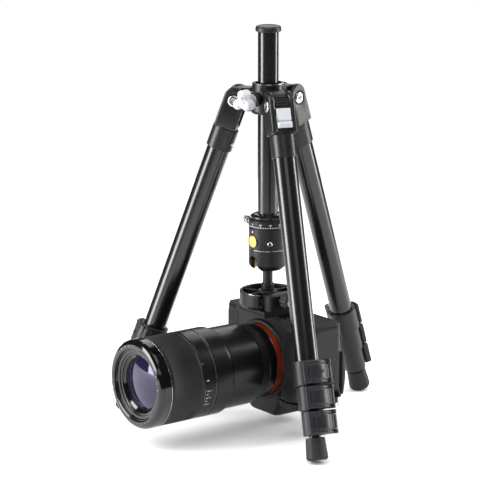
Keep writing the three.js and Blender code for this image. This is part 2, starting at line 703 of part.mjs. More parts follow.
/** The top cover: a shoulder plate, the finder hump, and a lug for the strap ring. */
function topCover() {
  const low = BODY_H + GAP;
  const shoulder = slab(bodyOutline(0.4), low, low + COVER_H, 4);
  const hump = new THREE.Shape();
  hump.moveTo(-HUMP_HALF[0], low);
  hump.lineTo(HUMP_HALF[0], low);
  hump.lineTo(HUMP_HALF[0] - 3, low + COVER_H + 4);
  hump.lineTo(HUMP_HALF[1], HUMP_TOP);
  hump.lineTo(-HUMP_HALF[1], HUMP_TOP);
  hump.lineTo(-HUMP_HALF[0] + 3, low + COVER_H + 4);
  const finder = slab(hump, -HUMP_Y[1], -HUMP_Y[0]).rotateX(Math.PI / 2);
  const face = BODY_Y[0];
  return cut(join(shoulder, finder), throat(MOUNT_R + RUN, face - 2 * MOUNT_H, face));
}

/** The hand grip with its leatherette: a soft-cornered block with a tapered top. */
function handGrip() {
  const [x0, x1] = GRIP_X;
  const outline = roundedRectangle([x0, x1], [GRIP_FRONT, BODY_Y[0] - GAP], [0.01, 0.01, 9, 8]);
  return solid(slab(outline, ...GRIP_Z, 4));
}

function mountRing() {
  const face = BODY_Y[0] - MOUNT_H;
  const ring = pipe(THROAT_R, MOUNT_R, face, BODY_Y[0] - GAP, LENS_SIDES);
  return alongY(ring).translate(0, 0, OPTIC_Z);
}

function lcdPanel() {
  const back = BODY_Y[1] + GAP;
  const panel = slab(roundedRectangle(LCD_X, [-LCD_Z[1], -LCD_Z[0]], 2), back, back + LCD_T, 2);
  return panel.rotateX(-Math.PI / 2);
}

function shutterButton() {
  const [x, y] = BUTTON_AT;
  const low = GRIP_Z[1] + BUTTON_TRAVEL + GAP;
  const cap = turned([
    [0, low], [BUTTON_R, low], [BUTTON_R, low + BUTTON_H - 0.8],
    [BUTTON_R - 1.2, low + BUTTON_H], [0, low + BUTTON_H],
  ], 16);
  return cap.translate(x, y, 0);
}

function modeDial() {
  const low = BODY_H + 2 * GAP + COVER_H;
  return rod(MODE_DIAL_R, low, low + MODE_DIAL_H, 18).translate(...DIAL_AT, 0);
}

/** The strap lug with its eye, part of the shell's side. */
function strapLug() {
  const [x, y, z] = LUG_AT;
  const [out, thick, tall] = STRAP_LUG;
  const plate = block([x - out, x + 1], [y - thick / 2, y + thick / 2], [z - tall / 2, z + tall / 2]);
  const eye = alongY(rod(STRAP_HOLE_R, y - thick, y + thick, 10)).translate(x - out / 2 - 0.4, 0, z);
  return cut(solid(plate), eye);
}

/** The strap ring, hanging through the lug's eye. */
function strapRing() {
  const [x, , z] = LUG_AT;
  const ring = new THREE.TorusGeometry(RING_R, RING_WIRE_R, 6, 16).rotateY(Math.PI / 2);
  return ring.translate(x - STRAP_LUG[0] / 2 - 0.4, LUG_AT[1], z + RING_R);
}

// ---------------------------------------------------------------- lens, along +Z from the flange

/** The fixed barrel: bayonet skirt, rear taper, main barrel, and a thin sleeve under the ring. */
function lensBarrel() {
  const inner = FRONT_R - 8;
  return turned([
    [LENS_BORE_R, GAP], [LENS_BASE_R - 1, GAP], [LENS_BASE_R, 1.5], [LENS_BASE_R, LENS_BASE],
    [LENS_REAR_R, LENS_BASE + 3], [LENS_REAR_R + 0.4, LENS_STEP], [LENS_MAIN_R, LENS_STEP + 3],
    [LENS_MAIN_R, FOCUS_START], [LENS_MAIN_R - FOCUS_SLEEVE - 1, FOCUS_START],
    [LENS_MAIN_R - FOCUS_SLEEVE - 1, FOCUS_END], [inner, FOCUS_END], [inner, FOCUS_END - 8],
    [LENS_BORE_R, FOCUS_END - 12],
  ], LENS_SIDES);
}

function focusRing() {
  const inner = LENS_MAIN_R - FOCUS_SLEEVE;
  return pipe(inner, LENS_MAIN_R, FOCUS_START + GAP, FOCUS_END - GAP, LENS_SIDES);
}

/** The front ring with the filter recess and the stepped baffle round the front glass. */
function lensFront() {
  const seat = LENS_LENGTH - RECESS;
  return turned([
    [FRONT_GLASS_R + GAP, FOCUS_END + GAP], [FRONT_R, FOCUS_END + GAP],
    [FRONT_R, LENS_LENGTH - 2], [FRONT_R - 2, LENS_LENGTH], [FILTER_R, LENS_LENGTH],
    [FILTER_R, LENS_LENGTH - 5], [FILTER_R - 4, seat + 2], [FRONT_GLASS_R + GAP, seat + 2],
  ], LENS_SIDES);
}

/** The front element: a disc whose outer face bulges in an arc. */
function frontGlass() {
  const seat = LENS_LENGTH - RECESS;
  const outline = [[0, seat - GLASS_T], [FRONT_GLASS_R, seat - GLASS_T], [FRONT_GLASS_R, seat]];
  for (let i = 3; i >= 0; i--) {
    const share = i / 4;
    outline.push([FRONT_GLASS_R * share, seat + GLASS_BULGE * (1 - share * share)]);
  }
  return turned(outline, LENS_SIDES);
}

// ---------------------------------------------------------------- the whole object

const model = new THREE.Group();

model.add(
  piece("spider", spider(), BLACK_METAL),
  piece("column_bush", columnBush(), BLACK_PLASTIC),
  piece("column_lock_knob", columnKnob(), GREY_PLASTIC),
  piece("centre_column", column(), ANODISED),
  piece("column_cap", columnCap(), BLACK_PLASTIC),
  piece("pan_base", panBase(), BLACK_METAL),
  piece("pan_lock_knob", panKnob(), STEEL),
  piece("ball_housing", housing(), BLACK_METAL),
  piece("ball_lock_knob", ballKnob(), BLACK_PLASTIC),
  piece("ball", ball(), STEEL),
  piece("ball_stem", stem(), BLACK_METAL),
  piece("clamp_body", clamp(), BLACK_METAL),
  piece("clamp_jaw", clampJaw(), BLACK_METAL),
  piece("clamp_knob", clampKnob(), BLACK_PLASTIC),
  piece("camera_plate", cameraPlate(), BLACK_METAL),
);
for (const [letter, azimuth] of Object.entries(LEG_AZIMUTHS)) model.add(leg(letter, azimuth));

const camera = new THREE.Group();
camera.position.z = BASE_Z;
camera.rotation.y = Math.PI;
const lensAxis = new THREE.Group();
lensAxis.name = "optical_axis";
lensAxis.position.set(0, BODY_Y[0] - MOUNT_H, OPTIC_Z);
lensAxis.rotation.x = Math.PI / 2;
lensAxis.add(
  piece("lens_barrel", lensBarrel(), BLACK_METAL),
  piece("focus_ring", focusRing(), RUBBER),
  piece("lens_front", lensFront(), BLACK_METAL),
  piece("front_element", frontGlass(), GLASS),
);
camera.add(
  piece("camera_body", bodyShell().add(strapLug()), BODY_PAINT),
  piece("top_cover", topCover(), BODY_PAINT),
  piece("hand_grip", handGrip(), LEATHERETTE),
  piece("mount_ring", mountRing(), ORANGE),
  piece("lcd_panel", lcdPanel(), BLACK_PLASTIC),
  piece("shutter_button", shutterButton(), BLACK_METAL),
  piece("mode_dial", modeDial(), BLACK_METAL),
  piece("strap_ring", strapRing(), STEEL),
  lensAxis,
);
model.add(camera);

// The origin is the middle of the footprint's bounding box, on the floor.
model.updateMatrixWorld(true);
const bounds = new THREE.Box3().setFromObject(model, true);
const middle = bounds.getCenter(new THREE.Vector3());
const placed = new THREE.Group();
model.position.set(-middle.x, -middle.y, -bounds.min.z);
placed.add(model);

export default placed;
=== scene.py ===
"""The looks of a mirrorless camera that hangs upside down from the reversed column of a travel tripod.

Shapes are in millimetres in the axes of the sub-part they belong to (leg, hub, camera or lens) and are
carried into the model, in metres, by that sub-part's placement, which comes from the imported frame.
A shape is a pair: an array of points, and a list of faces.
"""

import json

import bmesh
import bpy
import numpy as np
from mathutils import Matrix, Vector


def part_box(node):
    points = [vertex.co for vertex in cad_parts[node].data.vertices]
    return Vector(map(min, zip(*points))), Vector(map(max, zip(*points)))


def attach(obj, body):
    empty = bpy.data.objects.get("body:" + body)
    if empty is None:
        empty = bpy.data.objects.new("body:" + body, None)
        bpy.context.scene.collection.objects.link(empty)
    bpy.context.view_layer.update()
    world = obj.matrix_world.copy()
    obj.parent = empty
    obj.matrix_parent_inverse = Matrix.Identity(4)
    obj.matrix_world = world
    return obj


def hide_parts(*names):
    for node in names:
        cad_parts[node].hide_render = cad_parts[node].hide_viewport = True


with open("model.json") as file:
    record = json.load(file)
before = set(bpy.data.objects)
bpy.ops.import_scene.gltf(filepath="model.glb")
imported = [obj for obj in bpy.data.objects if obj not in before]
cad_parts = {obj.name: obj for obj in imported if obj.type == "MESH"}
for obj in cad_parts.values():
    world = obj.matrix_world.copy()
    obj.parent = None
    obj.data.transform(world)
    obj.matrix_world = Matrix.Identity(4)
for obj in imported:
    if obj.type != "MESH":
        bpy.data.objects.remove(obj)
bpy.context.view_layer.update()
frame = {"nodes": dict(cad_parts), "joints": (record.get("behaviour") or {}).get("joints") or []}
JOINTS = {joint["name"]: joint for joint in frame["joints"]}
MM = 0.001
TAU = 2 * np.pi
CORE = 0.02  # the small radius where the end faces of round shapes start


# ------------------------------------------------------------------ placements

def placement(x_axis, y_axis, z_axis, origin):
    """The matrix that carries millimetres in a sub-part's own axes to metres in the model."""
    matrix = np.eye(4)
    matrix[:3, :3] = np.array([x_axis, y_axis, z_axis], float).T * MM
    matrix[:3, 3] = origin
    return matrix


def leg_placement(letter):
    """Origin on the hinge, +X along the hinge pin, -Y outward, -Z down the leg."""
    spread = JOINTS[f"leg_{letter}_spread"]
    x_axis = -np.array(spread["axis"])
    z_axis = -np.array(JOINTS[f"leg_{letter}_extend_2"]["axis"])
    return placement(x_axis, np.cross(z_axis, x_axis), z_axis, spread["pos_m"])


def extent(node, place):
    """A CAD node's lowest and highest coordinates, in millimetres, in a sub-part's own axes."""
    mesh = frame["nodes"][node].data
    points = np.empty(len(mesh.vertices) * 3, np.float32)
    mesh.vertices.foreach_get("co", points)
    local = (points.reshape(-1, 3) - place[:3, 3]) @ np.linalg.inv(place[:3, :3]).T
    return local.min(0), local.max(0)


AXIS = np.array(JOINTS["pan_turn"]["pos_m"])  # a point on the column's axis
HINGE_Z = JOINTS["leg_a_spread"]["pos_m"][2]
HUB = placement((1, 0, 0), (0, 1, 0), (0, 0, 1), (AXIS[0], AXIS[1], HINGE_Z))
BASE_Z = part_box("camera_body")[1].z
CAMERA = placement((-1, 0, 0), (0, 1, 0), (0, 0, -1), (AXIS[0], AXIS[1], BASE_Z))
OPTIC_Z = JOINTS["focus_turn"]["pos_m"][2]
FLANGE_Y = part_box("mount_ring")[0].y
LENS = placement((-1, 0, 0), (0, 0, -1), (0, -1, 0), (AXIS[0], FLANGE_Y, OPTIC_Z))
BALL = placement((1, 0, 0), (0, 1, 0), (0, 0, 1), JOINTS["ball_tilt"]["pos_m"])
LEGS = {letter: leg_placement(letter) for letter in "abc"}


# ------------------------------------------------------------------ shapes

def soften(points, radius, closed=False, steps=4):
    """A polyline whose corners become arcs: each arc is tangent to both sides, and a point lies close
    to each of its ends so that flat stretches shade flat."""
    points = np.asarray(points, float)
    count = len(points)
    radii = np.broadcast_to(radius, (count,))
    out = []
    for i, corner in enumerate(points):
        ends = not closed and i in (0, count - 1)
        before, after = points[i - 1] - corner, points[(i + 1) % count] - corner
        reach = min(np.linalg.norm(before), np.linalg.norm(after))
        before, after = before / np.linalg.norm(before), after / np.linalg.norm(after)
        half = np.arccos(np.clip(before @ after, -1, 1)) / 2
        if ends or radii[i] <= 0 or half > 1.5:
            out.append(corner[None])
            continue
        tangent = min(radii[i] / np.tan(half), 0.42 * reach)
        arc_radius = tangent * np.tan(half)
        centre = corner + (before + after) / np.linalg.norm(before + after) * arc_radius / np.sin(half)
        start, stop = corner + before * tangent - centre, corner + after * tangent - centre
        sweep = np.pi - 2 * half
        share = np.linspace(0, 1, steps + 1)[:, None]
        arc = centre + (np.sin((1 - share) * sweep) * start + np.sin(share * sweep) * stop) / np.sin(sweep)
        pad = min(0.1 * tangent + 0.02, 0.06 * reach)
        out += [(corner + before * (tangent + pad))[None], arc, (corner + after * (tangent + pad))[None]]
    return np.concatenate(out)


def skin(rings, loop=False, caps=True):
    """Quads between successive closed rings of points, and a flat face over each end ring."""
    rings = np.asarray(rings, float)
    rows, count = rings.shape[:2]
    last = rows if loop else rows - 1
    i, j = np.meshgrid(np.arange(last), np.arange(count), indexing="ij")
    up, right = (i + 1) % rows, (j + 1) % count
    quads = np.stack([i * count + j, i * count + right, up * count + right, up * count + j], -1)
    faces = quads.reshape(-1, 4).tolist()
    if caps and not loop:
        faces.append(list(range(count))[::-1])
        faces.append(list(range((rows - 1) * count, rows * count)))
    return rings.reshape(-1, 3), faces


def turned(profile, sides=96, closed=False, wave=None, start=0.0):
    """A profile of (radius, height) carried round Z; wave(angle, height) adds to the radius."""
    profile = np.asarray(profile, float)
    angle = start + np.arange(sides) / sides * TAU
    radius = np.repeat(profile[:, :1], sides, 1)
    height = np.repeat(profile[:, 1:], sides, 1)
    if wave is not None:
        radius = radius + wave(angle[None], height)
    rings = np.stack([radius * np.cos(angle), radius * np.sin(angle), height], -1)
    return skin(rings, loop=closed)


def rod(points, radius, sides, steps=4, wave=None):
    """An open profile of (radius, height), its corners softened, carried round Z."""
    return turned(soften(points, radius, steps=steps), sides, wave=wave)


def ring(points, radius, sides, steps=4, wave=None):
    """A closed section of (radius, height), its corners softened, carried round Z."""
    return turned(soften(points, radius, closed=True, steps=steps), sides, closed=True, wave=wave)


def ribbing(count, depth, low, high=np.inf):
    """A wave for turned(): even ribs round a shape, between two heights."""
    def wave(angle, height):
        return depth * np.cos(count * angle) * (height > low) * (height < high)
    return wave


def cylinder(radius, low, high, edge=0.4, sides=64):
    """A solid round bar along Z with rounded rims."""
    return rod([(CORE, low), (radius, low), (radius, high), (CORE, high)], edge, sides, steps=3)


def washer(inner, outer, low, high, edge=0.3, sides=64):
    """A ring along Z of rectangular section with rounded rims."""
    return ring([(inner, low), (outer, low), (outer, high), (inner, high)], edge, sides, steps=3)


def normals_of(outline):
    """Unit outward normals of a closed outline that runs counter-clockwise."""
    ahead = np.roll(outline, -1, 0) - np.roll(outline, 1, 0)
    ahead /= np.linalg.norm(ahead, axis=1, keepdims=True) + 1e-12
    return np.stack([ahead[:, 1], -ahead[:, 0]], 1)


def prism(outline, low, high, edge=0.5, top_edge=None, steps=3):
    """A flat outline carried along Z from low to high, its rims rounded by shrinking the outline."""
    outline = np.asarray(outline, float)
    top_edge = edge if top_edge is None else top_edge
    normals = normals_of(outline)
    profile = [(-edge - 0.05, low), (0, low), (0, high), (-top_edge - 0.05, high)]
    profile = soften(profile, (0, edge, top_edge, 0), steps=steps)
    rings = [np.column_stack([outline + normals * inset, np.full(len(outline), z)]) for inset, z in profile]
    return skin(rings)


def rectangle(x0, x1, y0, y1, radius, steps=6):
    """A counter-clockwise rectangle; radius is one value, or one each for -x-y, +x-y, +x+y, -x+y."""
    return soften([(x0, y0), (x1, y0), (x1, y1), (x0, y1)], radius, closed=True, steps=steps)


def polar(outline, count=96):
    """The outline sampled at even angles about the origin, as count points."""
    angle = np.arctan2(outline[:, 1], outline[:, 0])
    order = np.argsort(angle)
    even = -np.pi + (np.arange(count) + 0.5) / count * TAU
    radius = np.interp(even, angle[order], np.hypot(*outline.T)[order], period=TAU)
    return np.column_stack([radius * np.cos(even), radius * np.sin(even)])


def plate(outer, inner):
    """A closed wall between two grids of points: both sides, and a strip round the border."""
    outer, inner = np.asarray(outer, float), np.asarray(inner, float)
    rows, columns = outer.shape[:2]
    i, j = np.meshgrid(np.arange(rows - 1), np.arange(columns - 1), indexing="ij")
    quads = np.stack([i * columns + j, (i + 1) * columns + j,
                      (i + 1) * columns + j + 1, i * columns + j + 1], -1).reshape(-1, 4)
    size = rows * columns
    grid = np.arange(size).reshape(rows, columns)
    rim = np.concatenate([grid[0, :-1], grid[:-1, -1], grid[-1, :0:-1], grid[:0:-1, 0]])
    after = np.roll(rim, -1)
    border = np.stack([rim, after, after + size, rim + size], -1)
    faces = np.concatenate([quads, quads[:, ::-1] + size, border]).tolist()
    return np.concatenate([outer.reshape(-1, 3), inner.reshape(-1, 3)]), faces


def swept(path, radius, sides=12, closed=False):
    """A round wire along a path: rings square to the path, turned as little as possible."""
    path = np.asarray(path, float)
    ahead = np.roll(path, -1, 0) - np.roll(path, 1, 0) if closed else np.gradient(path, axis=0)
    ahead /= np.linalg.norm(ahead, axis=1, keepdims=True)
    side = np.cross(ahead[0], (0.3, 0.5, 0.8))
    sides_of = []
    for direction in ahead:
        side = side - direction * (side @ direction)
        side = side / np.linalg.norm(side)
        sides_of.append(side)
    across = np.array(sides_of)
    over = np.cross(ahead, across)
    angle = np.arange(sides) / sides * TAU
    circle = across[:, None] * np.cos(angle)[None, :, None] + over[:, None] * np.sin(angle)[None, :, None]
    return skin(path[:, None] + radius * circle, loop=closed)


def moved(shape, x=0.0, y=0.0, z=0.0):
    """A shape shifted by millimetres."""
    return shape[0] + np.array([x, y, z]), shape[1]


def rotated(shape, axis, degrees):
    """A shape turned about an axis through the origin."""
    matrix = np.array(Matrix.Rotation(np.radians(degrees), 3, axis))
    return shape[0] @ matrix.T, shape[1]


def facing(shape, degrees=0.0):
    """A shape built along +Z laid down to point along -Y, turned from there about Z towards +X."""
    return rotated(rotated(shape, "X", 90), "Z", degrees)


def piece(name, body, place, parts, replaces=()):
    """One object from shapes, each with its material: points go to metres in the model's axes."""
    points, faces, looks, slots = [], [], [], []
    for (shape_points, shape_faces), material in parts:
        start = sum(len(p) for p in points)
        points.append(shape_points)
        faces += [[v + start for v in face] for face in shape_faces]
        if material not in slots:
            slots.append(material)
        looks += [slots.index(material)] * len(shape_faces)
    placed = np.concatenate(points) @ place[:3, :3].T + place[:3, 3]
    mesh = bpy.data.meshes.new(name)
    mesh.from_pydata(placed.tolist(), [], faces)
    for material in slots:
        mesh.materials.append(material)
    mesh.polygons.foreach_set("material_index", np.array(looks, np.int32))
    mesh.polygons.foreach_set("use_smooth", np.ones(len(faces), bool))
    work = bmesh.new()
    work.from_mesh(mesh)
    bmesh.ops.recalc_face_normals(work, faces=work.faces)
    work.to_mesh(mesh)
    work.free()
    thing = bpy.data.objects.new(name, mesh)
    bpy.context.scene.collection.objects.link(thing)
    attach(thing, body)
    if replaces:
        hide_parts(*replaces)
    return thing


# ------------------------------------------------------------------ shader groups

def shader_group(name, inputs, outputs):
    """An empty node group with named float or colour sockets; returns it with its two end nodes."""
    group = bpy.data.node_groups.new(name, "ShaderNodeTree")
    for label, kind, value in inputs:
        socket = group.interface.new_socket(name=label, in_out="INPUT", socket_type=kind)
        socket.default_value = value
    for label, kind in outputs:
        group.interface.new_socket(name=label, in_out="OUTPUT", socket_type=kind)
    return group, group.nodes.new("NodeGroupInput"), group.nodes.new("NodeGroupOutput")


def maths(tree, operation, first, second=None, clamp=False):
    """A Math node fed by sockets or numbers; returns its output socket."""
    node = tree.nodes.new("ShaderNodeMath")
    node.operation = operation
    node.use_clamp = clamp
    for socket, value in zip(node.inputs, (first, second)):
        if isinstance(value, bpy.types.NodeSocket):
            tree.links.new(value, socket)
        elif value is not None:
            socket.default_value = value
    return node.outputs[0]


def noise(tree, vector, scale, detail=3.0, roughness=0.55):
    """A noise texture on given coordinates; scale is a number or a socket. Returns its factor."""
    node = tree.nodes.new("ShaderNodeTexNoise")
    node.inputs["Detail"].default_value = detail
    node.inputs["Roughness"].default_value = roughness
    if isinstance(scale, bpy.types.NodeSocket):
        tree.links.new(scale, node.inputs["Scale"])
    else:
        node.inputs["Scale"].default_value = scale
    tree.links.new(vector, node.inputs["Vector"])
    return node.outputs["Fac"]


def object_coordinates(tree):
    """Each piece's own coordinates, which move with it."""
    return tree.nodes.new("ShaderNodeTexCoord").outputs["Object"]


def make_handled_group():
    """Gloss broken by handling: cloudy smudges at 8 mm and faint fine haze, as a change in roughness."""
    group, given, result = shader_group(
        "handled gloss",
        [("Roughness", "NodeSocketFloat", 0.3), ("Variation", "NodeSocketFloat", 0.1)],
        [("Roughness", "NodeSocketFloat")],
    )
    where = object_coordinates(group)
    cloud = maths(group, "SUBTRACT", noise(group, where, 60, 4, 0.6), 0.5)
    haze = maths(group, "SUBTRACT", noise(group, where, 900, 2), 0.5)
    both = maths(group, "ADD", cloud, maths(group, "MULTIPLY", haze, 0.5))
    change = maths(group, "MULTIPLY", both, given.outputs["Variation"])
    total = maths(group, "ADD", change, given.outputs["Roughness"], clamp=True)
    group.links.new(total, result.inputs["Roughness"])
    return group


def make_grain_group():
    """The relief of a moulded or powder-coated surface: fine grains over a slower unevenness."""
    group, given, result = shader_group(
        "surface grain",
        [("Scale", "NodeSocketFloat", 3000.0), ("Unevenness", "NodeSocketFloat", 0.3)],
        [("Height", "NodeSocketFloat"), ("Mask", "NodeSocketFloat")],
    )
    where = object_coordinates(group)
    fine = noise(group, where, given.outputs["Scale"], 2, 0.6)
    slow = noise(group, where, 160, 2, 0.5)
    total = maths(group, "ADD", fine, maths(group, "MULTIPLY", slow, given.outputs["Unevenness"]))
    group.links.new(total, result.inputs["Height"])
    spread = maths(group, "MULTIPLY", maths(group, "SUBTRACT", fine, 0.42), 4.0, clamp=True)
    group.links.new(spread, result.inputs["Mask"])
    return group


def make_wear_group():
    """Paint rubbed thin where edges stand out, broken up by noise, as a mask from 0 to 1."""
    group, given, result = shader_group(
        "edge wear",
        [("Amount", "NodeSocketFloat", 0.5)],
        [("Mask", "NodeSocketFloat")],
    )
    pointed = group.nodes.new("ShaderNodeNewGeometry").outputs["Pointiness"]
    edge = maths(group, "MULTIPLY", maths(group, "SUBTRACT", pointed, 0.53), 9.0, clamp=True)
    patches = noise(group, object_coordinates(group), 350, 4)
    patch = maths(group, "MULTIPLY", maths(group, "SUBTRACT", patches, 0.4), 4.0, clamp=True)
    mask = maths(group, "MULTIPLY", maths(group, "MULTIPLY", edge, patch), given.outputs["Amount"])
    group.links.new(mask, result.inputs["Mask"])
    return group


def make_dust_group():
    """A thin settling of dust on what faces up, as a mask from 0 to 1."""
    group, given, result = shader_group(
        "dust",
        [("Amount", "NodeSocketFloat", 0.2)],
        [("Mask", "NodeSocketFloat")],
    )
    normal = group.nodes.new("ShaderNodeNewGeometry").outputs["Normal"]
    parts = group.nodes.new("ShaderNodeSeparateXYZ")
    group.links.new(normal, parts.inputs[0])
    upward = maths(group, "MULTIPLY", parts.outputs["Z"], 1.0, clamp=True)
    specks = noise(group, object_coordinates(group), 700, 5, 0.7)
    mask = maths(group, "MULTIPLY", maths(group, "MULTIPLY", upward, specks), given.outputs["Amount"])
    group.links.new(mask, result.inputs["Mask"])
    return group


HANDLED = make_handled_group()
GRAIN = make_grain_group()
WEAR = make_wear_group()
DUST = make_dust_group()


# ------------------------------------------------------------------ materials

def use(tree, group, **values):
    """A group node in a material with its values set; returns the node."""
    node = tree.nodes.new("ShaderNodeGroup")
    node.node_tree = group
    for label, value in values.items():
        node.inputs[label].default_value = value
    return node


def mixed(tree, mask, first, second):
    """A colour mixed from two colours, or from a socket and a colour, by a mask socket."""
    node = tree.nodes.new("ShaderNodeMix")
    node.data_type = "RGBA"
    tree.links.new(mask, node.inputs["Factor"])
    for label, value in (("A", first), ("B", second)):
        socket = [s for s in node.inputs if s.name == label and s.type == "RGBA"][0]
        if isinstance(value, bpy.types.NodeSocket):
            tree.links.new(value, socket)
        else:
            socket.default_value = (*value, 1)
    return [s for s in node.outputs if s.type == "RGBA"][0]


def bumped(tree, shader, height, distance, strength=1.0):
    """A Bump node on the shader's normal; distance is the relief's depth in metres."""
    node = tree.nodes.new("ShaderNodeBump")
    node.inputs["Strength"].default_value = strength
    node.inputs["Distance"].default_value = distance
    tree.links.new(height, node.inputs["Height"])
    tree.links.new(node.outputs["Normal"], shader.inputs["Normal"])


def blank(name):
    """A new material; returns it with its tree and its Principled shader."""
    material = bpy.data.materials.new(name)
    material.use_nodes = True
    return material, material.node_tree, material.node_tree.nodes["Principled BSDF"]


def finish_of(name, colour, worn, rough, variation=0.1, metal=0.0, grain=3000.0, unevenness=0.3,
              relief=0.00002, wear=0.4, dust=0.15, coat=0.0, coat_rough=0.1, specular=0.5):
    """The usual finish: a colour worn lighter at its edges and dusted on top, a grain, a handled gloss."""
    material, tree, shader = blank(name)
    shader.inputs["Metallic"].default_value = metal
    shader.inputs["Specular IOR Level"].default_value = specular
    shader.inputs["Coat Weight"].default_value = coat
    shader.inputs["Coat Roughness"].default_value = coat_rough
    grained = use(tree, GRAIN, Scale=grain, Unevenness=unevenness)
    shade = mixed(tree, grained.outputs["Mask"], tuple(0.8 * c for c in colour), colour)
    shade = mixed(tree, use(tree, WEAR, Amount=wear).outputs["Mask"], shade, worn)
    shade = mixed(tree, use(tree, DUST, Amount=dust).outputs["Mask"], shade, (0.3, 0.29, 0.27))
    tree.links.new(shade, shader.inputs["Base Color"])
    gloss = use(tree, HANDLED, Roughness=rough, Variation=variation)
    tree.links.new(gloss.outputs["Roughness"], shader.inputs["Roughness"])
    bumped(tree, shader, grained.outputs["Height"], relief)
    return material


def leather_finish():
    """Leather-grain rubber: rounded cells of about 1 mm between creases, each cell finely pitted; the creases
    are coloured darker and the cell tops lighter, as painted shade.
    """
    material, tree, shader = blank("grip leatherette")
    where = object_coordinates(tree)
    bent = tree.nodes.new("ShaderNodeMix")
    bent.data_type = "VECTOR"
    wobble = tree.nodes.new("ShaderNodeTexNoise")
    wobble.inputs["Scale"].default_value = 700
    tree.links.new(where, wobble.inputs["Vector"])
    bent.inputs["Factor"].default_value = 0.0012
    vectors = [s for s in bent.inputs if s.type == "VECTOR"]
    tree.links.new(where, vectors[0])
    tree.links.new(wobble.outputs["Color"], vectors[1])
    cells = tree.nodes.new("ShaderNodeTexVoronoi")
    cells.feature = "DISTANCE_TO_EDGE"
    cells.inputs["Scale"].default_value = 700
    tree.links.new([s for s in bent.outputs if s.type == "VECTOR"][0], cells.inputs["Vector"])
    dome = maths(tree, "POWER", maths(tree, "MULTIPLY", cells.outputs["Distance"], 3.2, clamp=True), 0.5)
    height = maths(tree, "ADD", dome, maths(tree, "MULTIPLY", noise(tree, where, 2600, 3), 0.35))
    # painted shade: the creases between cells are coloured near black and the cell tops lighter, following
    # the same dome that gives the relief
    shade = mixed(tree, dome, (0.001, 0.001, 0.0012), (0.013, 0.0132, 0.015))
    shade = mixed(tree, use(tree, WEAR, Amount=0.5).outputs["Mask"], shade, (0.08, 0.08, 0.085))
    tree.links.new(shade, shader.inputs["Base Color"])
    gloss = use(tree, HANDLED, Roughness=0.36, Variation=0.15)
    tree.links.new(gloss.outputs["Roughness"], shader.inputs["Roughness"])
    bumped(tree, shader, height, 0.0009)
    return material


def turned_metal(name, colour, rough, spacing=9000.0):
    """Bright metal with fine turning marks."""
    material, tree, shader = blank(name)
    shader.inputs["Metallic"].default_value = 1.0
    where = object_coordinates(tree)
    marks = noise(tree, where, spacing, 2)
    shade = mixed(tree, noise(tree, where, 500, 3), tuple(0.7 * c for c in colour), colour)
    tree.links.new(shade, shader.inputs["Base Color"])
    gloss = use(tree, HANDLED, Roughness=rough, Variation=0.2)
    tree.links.new(gloss.outputs["Roughness"], shader.inputs["Roughness"])
    bumped(tree, shader, marks, 0.00001)
    return material


def coated_glass():
    """The front element: dark glass whose coating tints its reflections violet, with a violet base colour
    that paints that sheen into the glass, varied by a broad noise.
    """
    material, tree, shader = blank("coated glass")
    shader.inputs["IOR"].default_value = 1.5
    shader.inputs["Coat Weight"].default_value = 0.2
    shader.inputs["Coat Roughness"].default_value = 0.02
    shader.inputs["Specular Tint"].default_value = (0.72, 0.66, 1.0, 1.0)
    where = object_coordinates(tree)
    # painted sheen: the violet base colour stands in for the coating's reflected violet
    tint = mixed(tree, noise(tree, where, 25, 1), (0.0015, 0.0012, 0.004), (0.012, 0.009, 0.034))
    tree.links.new(tint, shader.inputs["Base Color"])
    gloss = use(tree, HANDLED, Roughness=0.05, Variation=0.03)
    tree.links.new(gloss.outputs["Roughness"], shader.inputs["Roughness"])
    return material


ANODISED = finish_of("black anodised tube", (0.004, 0.004, 0.005), (0.05, 0.05, 0.055), 0.22, 0.05,
                     grain=5000, relief=0.000001, wear=0.12, dust=0.01, coat=0.15, coat_rough=0.22,
                     specular=0.55)
CAST = finish_of("black casting", (0.006, 0.0062, 0.0075), (0.08, 0.08, 0.085), 0.34, 0.12,
                 grain=2600, relief=0.00003, wear=0.3, dust=0.025, specular=0.42)
# near black for seams, the screen's hinge and the hot shoe's bed, and painted shade: the same colour fills
# the collar's split, the screw's socket, the plate's grooves and the camera's slot, where there would only be
# shade
NEAR_BLACK_AND_PAINTED_SHADE = finish_of("near black and painted recess shade", (0.002, 0.002, 0.0025), (0.02, 0.02, 0.02), 0.6, 0.1,
                      wear=0.0, dust=0.0, specular=0.2)
MOULDED = finish_of("black moulded plastic", (0.008, 0.0083, 0.01), (0.06, 0.06, 0.065), 0.4, 0.1,
                    grain=2200, relief=0.00004, wear=0.35, dust=0.03, specular=0.4)
MOULDED_FRAME = finish_of("smooth moulded plastic", (0.012, 0.0125, 0.016), (0.08, 0.08, 0.09), 0.36, 0.08,
                          grain=4200, relief=0.000012, wear=0.3, dust=0.03, specular=0.42)
LIGHT_PLASTIC = finish_of("light grey plastic", (0.56, 0.57, 0.61), (0.75, 0.75, 0.76), 0.42, 0.1,
                          grain=2600, relief=0.00003, wear=0.2, dust=0.0)
GREY_PLASTIC = finish_of("mid grey plastic", (0.36, 0.37, 0.4), (0.6, 0.6, 0.62), 0.42, 0.1,
                         grain=2600, relief=0.00003, wear=0.2, dust=0.0)
RUBBER = finish_of("black rubber", (0.009, 0.0092, 0.0105), (0.05, 0.05, 0.05), 0.58, 0.15,
                   grain=1500, relief=0.00006, wear=0.3, dust=0.08, specular=0.35)
HEAD_BLACK = finish_of("head satin black", (0.006, 0.0062, 0.0075), (0.08, 0.08, 0.08), 0.4, 0.1,
                       grain=3600, relief=0.00003, wear=0.3, dust=0.02, specular=0.3)
